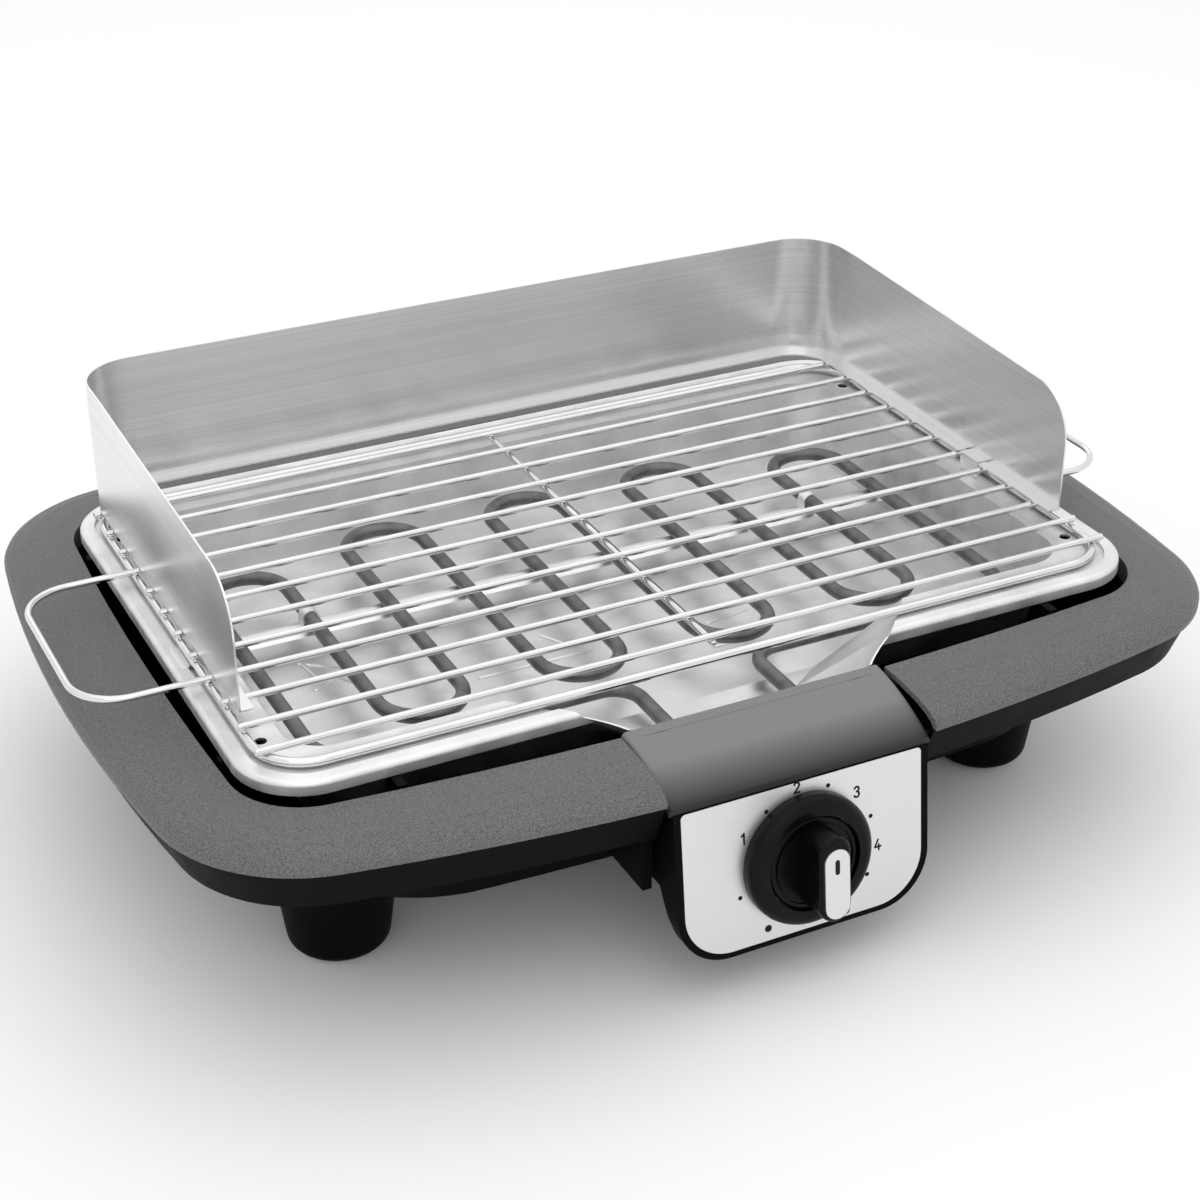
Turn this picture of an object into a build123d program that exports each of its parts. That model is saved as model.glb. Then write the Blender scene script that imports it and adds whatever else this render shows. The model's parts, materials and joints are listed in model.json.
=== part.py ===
from build123d import *
import math
import os

os.makedirs("parts", exist_ok=True)

# Electric table grill: base with bezel, lift-out tray, lift-out heater with control box,
# wire grid and lift-off windshield. Millimetres, +Z up, origin on the table under the
# middle of the bezel ring, +X to the right, the control box at -Y.

# Turns and counts
quarter_turn = 90.0
nut_sides = 6

# Clearances
lift_gap = 0.3
weld_gap = 0.1
thread_gap = 0.05
running_gap = 0.06
panel_gap = 0.2
box_side_gap = 1.5
cut_margin = 5.0

# Feet
foot_inset_x = 25.0
foot_inset_y = 59.0
foot_height = 46.0
foot_stand_off = 0.6
foot_bottom_radius = 21.0
foot_top_radius = 27.0
foot_edge_round = 6.0
pad_radius = 14.0
pad_recess = 2.0
foot_screw_radius = 2.0
foot_screw_length = 18.0
foot_screw_head_radius = 4.5
foot_screw_head_height = 2.5
foot_screw_slot_width = 1.2
foot_screw_slot_depth = 1.0

# Base: bowl, flange, skirt and cheeks
bowl_depth = 49.0
bowl_wall = 3.0
bowl_under_bezel = 2.0
bowl_top_corner = 34.0
bowl_draft_x = 27.5
bowl_draft_y = 6.0
bowl_bottom_corner = 70.0
bowl_bow_x = 2000.0
bowl_bow_y = 1800.0
flange_thickness = 2.5
skirt_inset = 1.5
skirt_height = 19.0
skirt_draft = 8.5
skirt_wall = 2.5
cheek_thickness = 4.0
cheek_depth = 24.0
cheek_height = 45.0
rib_thickness = 4.0
rib_rise = 10.4
rib_drop = 22.0
rib_overlap = 5.5
rib_bite = 3.0
side_rib_set = 41.0
long_rib_set = 55.0

# Bezel ring
bezel_outer_half_x = 247.0
bezel_outer_half_y = 187.0
bezel_outer_bow_x = 800.0
bezel_outer_bow_y = 1000.0
bezel_outer_corner = 65.0
bezel_width_x = 36.5
bezel_width_y = 40.0
bezel_inner_bow_x = 2000.0
bezel_inner_bow_y = 1800.0
bezel_inner_corner = 32.0
bezel_height = 9.3
bezel_edge_height = 2.2
bezel_wall = 2.4
bezel_lip = 3.0
bezel_crown_shares = [0.05, 0.16, 0.38, 0.68]
bezel_rise_shares = [0.30, 0.56, 0.82, 0.96]
bezel_boss_radius = 3.6
bezel_screw_radius = 1.5
bezel_screw_length = 7.0
bezel_screw_head_radius = 3.0
bezel_screw_head_height = 2.0
bezel_screw_set_x = 19.0
bezel_screw_set_y = 24.0
bezel_screw_rib_gap_x = 30.0
bezel_screw_rib_gap_y = 22.0

# Reflector tray
tray_gap_x = 5.5
tray_gap_y = 14.0
tray_corner = 30.0
tray_sheet = 1.0
rim_width = 6.5
rim_height = 6.0
rim_round = 2.2
rim_drop = 1.6
ledge_width = 17.5
ledge_corner = 18.0
tray_depth = 35.0
tray_draft = 8.0
tray_floor_corner = 14.0
ledge_hole_radius = 2.5
ledge_hole_set = 39.0
chute_rise = 7.9
chute_back_set = 47.0
chute_waist_set = 19.0
chute_floor_back_half = 78.0
chute_floor_waist_half = 38.0
chute_top_back_half = 98.0
chute_top_back_set = 29.0
chute_top_waist_half = 74.0
chute_top_waist_set = 2.0
chute_top_front_half = 59.0
chute_front_drop = 5.5
tongue_half = 36.0
tongue_length = 4.6

# Wire grid
rod_radius = 1.5
rod_end_gap = 10.5
rod_count = 12
handle_outer_rod_count = 3
handle_reach = 50.0
handle_bend = 21.0
frame_wire_radius = 2.0
frame_set_x = 10.0
frame_set_y = 12.5
frame_bend = 22.0
centre_wire_radius = 1.5

# Windshield
shield_sheet = 0.8
shield_side_set = 1.0
shield_back_reach = 11.5
shield_front_set = 37.5
shield_bend = 25.0
shield_height = 62.0
shield_front_drop = 7.5
shield_level_set = 37.0
shield_nose_round = 24.0
shield_flange = 5.5
shield_tab_y = 20.0
shield_tab_width = 14.0
shield_tab_relief = 1.6
shield_tab_clear = 0.7
shield_tab_set = 4.0

# Heating element
tube_radius = 3.2
element_rise = 6.7
run_count = 10
run_wall_gap = 8.75
outer_back_set = 31.0
inner_back_set = 13.0
front_bend_set = 25.0
front_run_set = 11.0
run_bend = 16.0
leg_x = 29.0
leg_bend = 13.0
tube_end_inset = 6.0
pin_radius = 1.3
pin_length = 12.0
strip_back_set = 46.0
strip_width = 13.0
strip_crown = 3.0
strip_sheet = 1.0
strip_left_gap = 7.0
strip_right_gap = 1.0
clip_width = 6.0
clip_sheet = 0.8

# Control box
box_half_width = 57.8
box_wall = 2.5
box_rear_set = 3.5
box_step_set = 1.5
box_seat_rise = 0.3
cover_side_reach = 1.5
cover_thickness = 3.0
cover_rear_rise = 21.4
cover_front_rise = 8.8
cover_length = 39.7
cover_bulge = 2.4
cover_edge_round = 2.0
cover_slot_side_set = 14.3
cover_slot_length = 5.0
cover_slot_width = 1.2
cover_slot_set = 4.0
cover_slot_depth = 1.2
plate_top_set = 0.4
plate_top_rise = 7.8
plate_tilt = 7.0
box_depth_below = 63.0
box_bottom_corner = 23.0
box_deep_drop = 32.3
box_deep_length = 30.5
lip_depth = 7.0
lip_height = 17.0
bulge_half = 27.0
bulge_drop = 19.0
bulge_chamfer = 12.0
plate_border = 2.4
plate_sheet = 1.2
plate_half_width = 54.6
plate_corner_low = 21.0
plate_corner_high = 2.0
plate_top_gap = 2.3
dial_drop = 27.6

# Knob, collar and thermostat
collar_radius = 28.2
collar_bore = 20.6
collar_height = 8.0
collar_round = 5.0
knob_radius = 20.0
knob_lift = 0.6
knob_disc_height = 7.0
knob_disc_round = 1.2
knob_groove_radius = 17.4
knob_groove_width = 1.0
knob_groove_depth = 0.8
grip_length = 37.0
grip_width = 14.0
grip_height = 23.8
grip_round = 2.0
knob_cap_length = 30.5
knob_cap_width = 11.0
knob_cap_sheet = 1.2
knob_cap_recess = 0.6
knob_cap_shift = 1.2
nut_pocket_radius = 8.2
nut_pocket_depth = 4.0
shaft_radius = 3.0
shaft_grip = 15.0
shaft_flat = 1.0
spring_clip_sheet = 0.5
spring_clip_length = 9.0
spring_clip_width = 3.2
bush_radius = 5.0
bush_reach = 2.6
bush_clear = 0.25
nut_across = 12.0
nut_height = 2.2
bracket_width = 44.0
bracket_height = 22.0
bracket_sheet = 1.2
thermostat_radius = 16.0
thermostat_depth = 12.0
shaft_tail = 3.0
tab_width = 6.3
tab_sheet = 0.8
tab_length = 6.0
tab_spread = 8.0

# Wiring inside the box
block_side_gap = 8.3
block_width = 26.0
block_depth = 13.0
block_height = 11.0
block_z_rise = 8.0
block_hole_radius = 3.2
block_hole_spread = 6.5
fuse_radius = 2.3
fuse_length = 10.0
fuse_side_set = 15.8
fuse_set = 8.0
fuse_rise = 2.5
fuse_clip_sheet = 1.0
fuse_clip_width = 5.0
wire_radius = 1.4
wire_bend = 3.0
wire_stub = 8.0
tab_lead = 6.0
flange_plate_width = 84.0
flange_plate_height = 8.2
flange_plate_sheet = 1.5
rivet_radius = 1.6
rivet_head_radius = 3.0
rivet_head_height = 1.2
rivet_x = 10.0
gland_bulge_gap = 10.0
gland_set = 12.0
gland_bore = 3.6
gland_neck_radius = 5.2
gland_flange_radius = 7.5
gland_flange_height = 5.0
gland_neck_reach = 3.0

# Plan sizes that follow, each from the piece around it
bezel_inner_half_x = bezel_outer_half_x - bezel_width_x
bezel_inner_half_y = bezel_outer_half_y - bezel_width_y
bowl_top_half_x = bezel_inner_half_x + bowl_under_bezel
bowl_top_half_y = bezel_inner_half_y + bowl_under_bezel
bowl_bottom_half_x = bowl_top_half_x - bowl_draft_x
bowl_bottom_half_y = bowl_top_half_y - bowl_draft_y
foot_x = bowl_bottom_half_x - foot_inset_x
foot_y = bowl_bottom_half_y - foot_inset_y
tray_half_x = bezel_inner_half_x - tray_gap_x
tray_half_y = bezel_inner_half_y - tray_gap_y
side_rib_y = tray_half_y - side_rib_set
long_rib_x = tray_half_x - long_rib_set
bezel_screw_line_x = bezel_outer_half_x - bezel_screw_set_x
bezel_screw_line_y = bezel_outer_half_y - bezel_screw_set_y
bezel_screw_spread_x = long_rib_x - bezel_screw_rib_gap_x
bezel_screw_spread_y = side_rib_y - bezel_screw_rib_gap_y
rim_in_x = tray_half_x - rim_width
rim_in_y = tray_half_y - rim_width
mouth_x = rim_in_x - ledge_width
mouth_y = rim_in_y - ledge_width
floor_x = mouth_x - tray_draft
floor_y = mouth_y - tray_draft
cover_half_width = box_half_width + cover_side_reach
cover_slot_x = cover_half_width - cover_slot_side_set
block_x = box_half_width - box_wall - block_side_gap - block_width / 2
fuse_x = box_half_width - fuse_side_set
gland_x = bulge_half + gland_bulge_gap
box_rear_y = bezel_inner_half_y - box_rear_set
box_step_y = bowl_top_half_y + box_step_set
cover_front_y = box_rear_y + cover_length
plate_top_y = cover_front_y + plate_top_set
box_deep_front_y = box_rear_y + box_deep_length
gland_y = box_step_y + gland_set
ledge_hole_y = tray_half_y - ledge_hole_set
chute_back_y = tray_half_y - chute_back_set
chute_waist_y = tray_half_y - chute_waist_set
chute_top_back_y = tray_half_y - chute_top_back_set
chute_top_waist_y = tray_half_y - chute_top_waist_set
chute_front_y = box_rear_y - lift_gap
frame_half_x = tray_half_x - frame_set_x
frame_half_y = tray_half_y - frame_set_y
rod_half_length = frame_half_x + frame_wire_radius
rod_pitch = 2 * (frame_half_y - rod_end_gap) / (rod_count - 1)
handle_rods = [handle_outer_rod_count, rod_count - 1 - handle_outer_rod_count]
handle_half_length = rod_half_length + handle_reach
shield_half_x = frame_half_x - shield_side_set
shield_back_y = frame_half_y + shield_back_reach
shield_front_y = frame_half_y - shield_front_set
shield_level_y = shield_back_y - shield_level_set
run_pitch = 2 * (floor_x - run_wall_gap) / (run_count - 1)
outer_back_y = floor_y - outer_back_set
inner_back_y = floor_y - inner_back_set
strip_y = outer_back_y - strip_back_set
front_bend_y = floor_y - front_bend_set
front_run_y = floor_y - front_run_set
strip_left = floor_x - strip_left_gap
strip_right = floor_x - strip_right_gap

# Heights that follow from the sizes
bowl_bottom_z = foot_height
flange_top_z = bowl_bottom_z + bowl_depth
bezel_top_z = flange_top_z + bezel_height
rib_top_z = flange_top_z + rib_rise
rim_bottom_z = rib_top_z + lift_gap
rim_top_z = rim_bottom_z + rim_height
ledge_z = rim_top_z - rim_drop
tray_floor_z = ledge_z - tray_depth
chute_floor_z = tray_floor_z + chute_rise
frame_wire_z = ledge_z + lift_gap + frame_wire_radius
rod_z = frame_wire_z + frame_wire_radius + weld_gap + rod_radius
shield_bottom_z = rod_z + rod_radius + lift_gap
shield_top_z = shield_bottom_z + shield_height
box_seat_z = chute_floor_z + box_seat_rise
element_z = box_seat_z + element_rise
plate_top_z = box_seat_z + plate_top_rise
box_bottom_z = box_seat_z - box_depth_below
dial_z = box_seat_z - dial_drop
tilt_slope = math.tan(math.radians(plate_tilt))
tilt_cos = math.cos(math.radians(plate_tilt))
tilt_sin = math.sin(math.radians(plate_tilt))
notch_half = cover_half_width + box_side_gap


def front_y(z, depth=0):
    """Distance of the control box front from the origin at height z, moved in by depth."""
    return plate_top_y + (plate_top_z - z) * tilt_slope - depth / tilt_cos


dial_plane = Plane(
    origin=(0, -front_y(dial_z), dial_z), x_dir=(1, 0, 0), z_dir=(0, -tilt_cos, tilt_sin)
)


def bowed_face(half_x, half_y, bow_x, bow_y, corner, z):
    """Rounded outline whose four sides are arcs, as a level face at height z."""
    back_y = half_y - bow_y
    side_x = half_x - bow_x
    reach_back = bow_y - corner
    reach_side = bow_x - corner
    span = math.hypot(side_x, back_y)
    along = (reach_back**2 - reach_side**2 + span**2) / (2 * span)
    across = math.sqrt(reach_back**2 - along**2)
    ux = side_x / span
    uy = -back_y / span
    cx = along * ux + across * uy
    cy = back_y + along * uy - across * ux
    tx = cx * bow_y / reach_back
    ty = back_y + (cy - back_y) * bow_y / reach_back
    sx = side_x + (cx - side_x) * bow_x / reach_side
    sy = cy * bow_x / reach_side
    mx = (tx + sx) / 2 - cx
    my = (ty + sy) / 2 - cy
    size = math.hypot(mx, my)
    kx = cx + corner * mx / size
    ky = cy + corner * my / size
    edges = [
        ThreePointArc((sx, -sy), (half_x, 0), (sx, sy)),
        ThreePointArc((sx, sy), (kx, ky), (tx, ty)),
        ThreePointArc((tx, ty), (0, half_y), (-tx, ty)),
        ThreePointArc((-tx, ty), (-kx, ky), (-sx, sy)),
        ThreePointArc((-sx, sy), (-half_x, 0), (-sx, -sy)),
        ThreePointArc((-sx, -sy), (-kx, -ky), (-tx, -ty)),
        ThreePointArc((-tx, -ty), (0, -half_y), (tx, -ty)),
        ThreePointArc((tx, -ty), (kx, -ky), (sx, -sy)),
    ]
    return Pos(0, 0, z) * make_face(edges)


def bezel_face(share, z, inset=0):
    """Outline part way from the ring's outer edge (0) to its inner edge (1)."""
    sizes = []
    for outer, inner in [
        (bezel_outer_half_x - inset, bezel_inner_half_x - inset),
        (bezel_outer_half_y - inset, bezel_inner_half_y - inset),
        (bezel_outer_bow_x - inset, bezel_inner_bow_x - inset),
        (bezel_outer_bow_y - inset, bezel_inner_bow_y - inset),
        (bezel_outer_corner - inset, bezel_inner_corner - inset),
    ]:
        sizes.append(outer + (inner - outer) * share)
    return bowed_face(*sizes, z)


def bowl_face(share, z, inset=0):
    """Outline of the bowl from its bottom (0) to its top (1), moved in by inset."""
    half_x = bowl_bottom_half_x + (bowl_top_half_x - bowl_bottom_half_x) * share - inset
    half_y = bowl_bottom_half_y + (bowl_top_half_y - bowl_bottom_half_y) * share - inset
    corner = bowl_bottom_corner + (bowl_top_corner - bowl_bottom_corner) * share - inset
    return bowed_face(half_x, half_y, bowl_bow_x - inset, bowl_bow_y - inset, corner, z)


def rounded_face(half_x, half_y, corner, z):
    """Straight-sided rounded outline as a level face at height z."""
    return Pos(0, 0, z) * RectangleRounded(2 * half_x, 2 * half_y, corner)


def block(x0, x1, y0, y1, z0, z1):
    """Box between two corners."""
    middle = Pos((x0 + x1) / 2, (y0 + y1) / 2, (z0 + z1) / 2)
    return middle * Box(abs(x1 - x0), abs(y1 - y0), abs(z1 - z0))


def upright(x, y, z0, z1, radius):
    """Round bar along Z."""
    return Pos(x, y, (z0 + z1) / 2) * Cylinder(radius, z1 - z0)


def along_x(y, z, x0, x1, radius):
    """Round bar along X."""
    return Pos((x0 + x1) / 2, y, z) * Rot(0, quarter_turn, 0) * Cylinder(radius, x1 - x0)


def along_y(x, z, y0, y1, radius):
    """Round bar along Y."""
    return Pos(x, (y0 + y1) / 2, z) * Rot(quarter_turn, 0, 0) * Cylinder(radius, y1 - y0)


def on_dial(z0, z1, radius):
    """Round bar along the knob axis, from z0 to z1 in front of the plate."""
    return dial_plane * Pos(0, 0, (z0 + z1) / 2) * Cylinder(radius, z1 - z0)


def bent_wire(path, radius):
    """Round wire along a smooth path."""
    start = Plane(origin=path @ 0, z_dir=path % 0)
    return sweep(start * Circle(radius), path=path)


def four(points_x, points_y):
    """The four sign combinations of one point."""
    return [(sx * points_x, sy * points_y) for sx in (-1, 1) for sy in (-1, 1)]


# Feet, their pads and screws
foot_places = {
    "foot_front_left": (-foot_x, -foot_y),
    "foot_front_right": (foot_x, -foot_y),
    "foot_back_left": (-foot_x, foot_y),
    "foot_back_right": (foot_x, foot_y),
}
pieces = {}
screw_bottom_z = bowl_bottom_z + bowl_wall - foot_screw_length
pads = []
foot_screws = []
for name, (x, y) in foot_places.items():
    foot = loft(
        [
            Pos(x, y, foot_stand_off) * Circle(foot_bottom_radius),
            Pos(x, y, foot_height) * Circle(foot_top_radius),
        ]
    )
    foot = fillet(foot.edges().group_by(Axis.Z)[0], foot_edge_round)
    pad_top_z = foot_stand_off + pad_recess
    foot -= upright(x, y, 0, pad_top_z, pad_radius + weld_gap)
    foot -= upright(x, y, screw_bottom_z - weld_gap, foot_height, foot_screw_radius + thread_gap)
    pieces[name] = foot
    pads.append(upright(x, y, 0, pad_top_z, pad_radius))
    head_z = bowl_bottom_z + bowl_wall
    screw = upright(x, y, screw_bottom_z, head_z, foot_screw_radius)
    head = upright(x, y, head_z, head_z + foot_screw_head_height, foot_screw_head_radius)
    slot_z = head_z + foot_screw_head_height - foot_screw_slot_depth
    head -= block(
        x - foot_screw_head_radius,
        x + foot_screw_head_radius,
        y - foot_screw_slot_width / 2,
        y + foot_screw_slot_width / 2,
        slot_z,
        slot_z + cut_margin,
    )
    foot_screws.append(screw + head)
pieces["foot_pads"] = Compound(children=pads)
pieces["foot_screws"] = Compound(children=foot_screws)

# Base shell: bowl with a notch for the control box
bowl_outer = loft([bowl_face(0, bowl_bottom_z), bowl_face(1, flange_top_z)], ruled=True)
bowl_floor_z = bowl_bottom_z + bowl_wall
floor_share = bowl_wall / bowl_depth
bowl_inner = loft(
    [
        bowl_face(floor_share, bowl_floor_z, bowl_wall),
        bowl_face(1, flange_top_z, bowl_wall),
    ],
    ruled=True,
)
base = bowl_outer - bowl_inner
base -= block(
    -notch_half,
    notch_half,
    -bowl_top_half_y - cut_margin,
    -bowl_bottom_half_y + bowl_wall + cut_margin,
    chute_floor_z - tray_sheet - lift_gap,
    flange_top_z + cut_margin,
)

# Flange under the bezel, skirt below its outer edge and cheeks beside the control box
flange_low_z = flange_top_z - flange_thickness
skirt_low_z = flange_top_z - skirt_height


def skirt_solid(inset):
    """Everything inside the skirt's outer face, moved in by inset."""
    low = bezel_face(0, skirt_low_z, skirt_draft + inset)
    top = bezel_face(0, flange_top_z, skirt_inset + inset)
    return loft([low, top], ruled=True)


def level_slab(z0, z1):
    """Slab over the whole plan, open in front for the control box."""
    slab = block(
        -bezel_outer_half_x, bezel_outer_half_x, -bezel_outer_half_y, bezel_outer_half_y, z0, z1
    )
    return slab - block(
        -notch_half,
        notch_half,
        -bezel_outer_half_y - cut_margin,
        -bowl_bottom_half_y,
        z0 - cut_margin,
        z1 + cut_margin,
    )


flange = (skirt_solid(0) & level_slab(flange_low_z, flange_top_z)) - bowl_outer
skirt = (skirt_solid(0) - skirt_solid(skirt_wall)) & level_slab(skirt_low_z, flange_low_z)
cheeks = []
for side in (-1, 1):
    cheek = block(
        side * notch_half,
        side * (notch_half + cheek_thickness),
        -bowl_top_half_y - cheek_depth,
        -bowl_bottom_half_y,
        flange_top_z - cheek_height,
        flange_low_z,
    )
    cheeks.append(cheek - bowl_outer)

# Ribs inside the bowl that carry the tray's rim
rib_inner_x = tray_half_x - rib_overlap
rib_inner_y = tray_half_y - rib_overlap
rib_outer_x = bowl_top_half_x - bowl_wall
rib_outer_y = bowl_top_half_y - bowl_wall
rib_bottom_z = flange_top_z - rib_drop
for side in (-1, 1):
    for y in (-side_rib_y, side_rib_y):
        rib = block(
            side * rib_inner_x,
            side * (rib_outer_x - rib_bite),
            y - rib_thickness / 2,
            y + rib_thickness / 2,
            rib_bottom_z,
            rib_top_z,
        )
        rib += bowl_outer & block(
            side * rib_inner_x,
            side * rib_outer_x,
            y - rib_thickness / 2,
            y + rib_thickness / 2,
            rib_bottom_z,
            flange_top_z,
        )
        base += rib
    for x in (-long_rib_x, long_rib_x):
        rib = block(
            x - rib_thickness / 2,
            x + rib_thickness / 2,
            side * rib_inner_y,
            side * (rib_outer_y - rib_bite - bezel_lip),
            rib_bottom_z,
            rib_top_z,
        )
        rib += bowl_outer & block(
            x - rib_thickness / 2,
            x + rib_thickness / 2,
            side * rib_inner_y,
            side * (rib_outer_y - rib_bite / 2),
            rib_bottom_z,
            flange_top_z - bezel_lip,
        )
        base += rib
for x, y in foot_places.values():
    base -= upright(
        x, y, bowl_bottom_z - weld_gap, bowl_floor_z + weld_gap, foot_screw_radius + panel_gap
    )

# Bezel ring with screw bosses
bezel_sections = [bezel_face(0, flange_top_z), bezel_face(0, flange_top_z + bezel_edge_height)]
hollow_sections = [
    bezel_face(0, flange_top_z - bezel_wall, bezel_wall),
    bezel_face(0, flange_top_z + bezel_edge_height - bezel_wall, bezel_wall),
]
crown = bezel_height - bezel_edge_height
for crown_share, rise_share in zip(bezel_crown_shares, bezel_rise_shares):
    crown_z = flange_top_z + bezel_edge_height + crown * rise_share
    bezel_sections.append(bezel_face(crown_share, crown_z))
    hollow_sections.append(bezel_face(crown_share, crown_z - bezel_wall, bezel_wall))
bezel_sections.append(bezel_face(1, bezel_top_z))
hollow_sections.append(bezel_face(1, bezel_top_z - bezel_wall, bezel_wall))
bezel = loft(bezel_sections, ruled=True)
lip_prism = extrude(bezel_face(1, flange_top_z - bezel_wall, -bezel_lip), bezel_height)
hollow = loft(hollow_sections, ruled=True) - lip_prism
bezel -= hollow
screw_places = []
for side in (-1, 1):
    for y in (-bezel_screw_spread_y, bezel_screw_spread_y):
        screw_places.append((side * bezel_screw_line_x, y))
    for x in (-bezel_screw_spread_x, bezel_screw_spread_x):
        screw_places.append((x, side * bezel_screw_line_y))
boss_top_z = bezel_top_z - bezel_wall
bezel_screws = []
for x, y in screw_places:
    bezel += upright(x, y, flange_top_z, boss_top_z, bezel_boss_radius)
bezel -= extrude(bezel_face(1, flange_top_z - cut_margin), bezel_height + 2 * cut_margin)
bezel -= block(
    -notch_half,
    notch_half,
    -bezel_outer_half_y - cut_margin,
    0,
    flange_top_z - cut_margin,
    bezel_top_z + cut_margin,
)
head_top_z = flange_low_z
screw_top_z = head_top_z + bezel_screw_length
for x, y in screw_places:
    bezel -= upright(x, y, flange_top_z, screw_top_z + weld_gap, bezel_screw_radius + thread_gap)
    flange -= upright(
        x, y, head_top_z - weld_gap, flange_top_z + weld_gap, bezel_screw_radius + panel_gap
    )
    screw = upright(x, y, head_top_z, screw_top_z, bezel_screw_radius)
    head_low_z = head_top_z - bezel_screw_head_height
    screw += upright(x, y, head_low_z, head_top_z, bezel_screw_head_radius)
    bezel_screws.append(screw)
pieces["base_shell"] = base
pieces["base_flange"] = flange
pieces["base_skirt"] = skirt
pieces["base_cheeks"] = Compound(children=cheeks)
pieces["bezel_ring"] = bezel
pieces["bezel_screws"] = Compound(children=bezel_screws)

# Reflector tray: rolled rim, ledge, sloping wall, floor and front chute
rim_in_corner = tray_corner - rim_width
rim = extrude(rounded_face(tray_half_x, tray_half_y, tray_corner, rim_bottom_z), rim_height)
rim = fillet(rim.edges().group_by(Axis.Z)[-1], rim_round)
rim_hollow = extrude(
    rounded_face(
        tray_half_x - tray_sheet,
        tray_half_y - tray_sheet,
        tray_corner - tray_sheet,
        rim_bottom_z,
    ),
    rim_height - tray_sheet,
)
rim_hollow = fillet(rim_hollow.edges().group_by(Axis.Z)[-1], rim_round - tray_sheet)
rim_hollow -= extrude(
    rounded_face(
        rim_in_x + tray_sheet, rim_in_y + tray_sheet, rim_in_corner + tray_sheet, rim_bottom_z
    ),
    rim_height,
)
tray = rim - rim_hollow
tray -= extrude(rounded_face(rim_in_x, rim_in_y, rim_in_corner, ledge_z), rim_height)
pan_bottom = rounded_face(
    floor_x + tray_sheet,
    floor_y + tray_sheet,
    tray_floor_corner + tray_sheet,
    tray_floor_z - tray_sheet,
)
pan_top = rounded_face(
    mouth_x + tray_sheet, mouth_y + tray_sheet, ledge_corner + tray_sheet, ledge_z - tray_sheet
)
under_ledge = extrude(
    rounded_face(rim_in_x, rim_in_y, rim_in_corner, rim_bottom_z),
    ledge_z - rim_bottom_z - tray_sheet,
)
tray -= under_ledge
tray += loft([pan_bottom, pan_top], ruled=True)
pan_inner = loft(
    [
        rounded_face(floor_x, floor_y, tray_floor_corner, tray_floor_z),
        rounded_face(mouth_x, mouth_y, ledge_corner, ledge_z),
    ],
    ruled=True,
)
tray -= pan_inner


def chute_solid(grow, rise):
    """Funnel from the pan to the control box, grown by the sheet and raised at its top."""
    floor_corners = [
        (chute_floor_back_half + grow, -chute_back_y),
        (chute_floor_waist_half + grow, -chute_waist_y),
        (chute_floor_waist_half + grow, -chute_front_y),
    ]
    top_corners = [
        (chute_top_back_half + grow, -chute_top_back_y),
        (chute_top_waist_half + grow, -chute_top_waist_y),
        (chute_top_front_half + grow, -chute_front_y),
    ]
    sections = []
    for corners, z in [(floor_corners, chute_floor_z - grow), (top_corners, ledge_z)]:
        mirrored = [(-x, y) for x, y in reversed(corners)]
        sections.append(Pos(0, 0, z) * Polygon(*corners, *mirrored, align=None))
    funnel = loft(sections, ruled=True)
    if rise > 0:
        funnel += extrude(sections[-1], rise, dir=(0, 0, 1))
    return funnel


chute_void = chute_solid(0, rim_height)
chute = chute_solid(tray_sheet, 0) - chute_void - pan_inner
chute -= block(
    -chute_floor_waist_half - tray_sheet,
    chute_floor_waist_half + tray_sheet,
    -floor_y,
    0,
    tray_floor_z - tray_sheet,
    ledge_z,
)
lip_cut = Polygon(
    (-chute_top_waist_y, ledge_z),
    (-chute_top_waist_y, ledge_z + rim_height),
    (-chute_front_y - tray_sheet, ledge_z + rim_height),
    (-chute_front_y - tray_sheet, ledge_z - chute_front_drop),
    align=None,
)
chute -= extrude(Plane.YZ * lip_cut, tray_half_x, both=True)
tray -= chute_void
tray += chute
tray += block(
    -tongue_half,
    tongue_half,
    -chute_front_y - tongue_length,
    -chute_front_y + tray_sheet,
    chute_floor_z - tray_sheet,
    chute_floor_z,
)
ledge_hole_x = rim_in_x - ledge_width / 2
for x, y in four(ledge_hole_x, ledge_hole_y):
    tray -= upright(x, y, ledge_z - 2 * tray_sheet, ledge_z + tray_sheet, ledge_hole_radius)
pieces["reflector_tray"] = tray

# Wire grid: frame, rods, handle loop and centre wire
frame_path = Pos(0, 0, frame_wire_z) * RectangleRounded(
    2 * frame_half_x, 2 * frame_half_y, frame_bend
)
pieces["grid_frame_wire"] = bent_wire(frame_path.wire(), frame_wire_radius)
rods = []
for index in range(rod_count):
    y = (index - (rod_count - 1) / 2) * rod_pitch
    if index not in handle_rods:
        rods.append(along_x(y, rod_z, -rod_half_length, rod_half_length, rod_radius))
pieces["grid_rods"] = Compound(children=rods)
handle_span = (handle_rods[1] - handle_rods[0]) * rod_pitch
handle_path = Pos(0, 0, rod_z) * RectangleRounded(2 * handle_half_length, handle_span, handle_bend)
pieces["grid_handle_loop"] = bent_wire(handle_path.wire(), rod_radius)
first_rod_y = (rod_count - 1) / 2 * rod_pitch
centre_wire_z = rod_z - rod_radius - weld_gap - centre_wire_radius
pieces["grid_centre_wire"] = along_y(
    0, centre_wire_z, -first_rod_y, first_rod_y + rod_radius, centre_wire_radius
)

# Windshield: one bent sheet with turned-in bottom flange and two locating tabs


def shield_plan(inset, front):
    """Plan of the windshield: rounded at the back, cut straight at the front."""
    half_x = shield_half_x - inset
    back_y = shield_back_y - inset
    bend = shield_bend - inset
    plan = Pos(0, (back_y - front) / 2) * Rectangle(2 * half_x, back_y + front)
    return fillet(plan.vertices().group_by(Axis.Y)[-1], bend)


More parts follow.
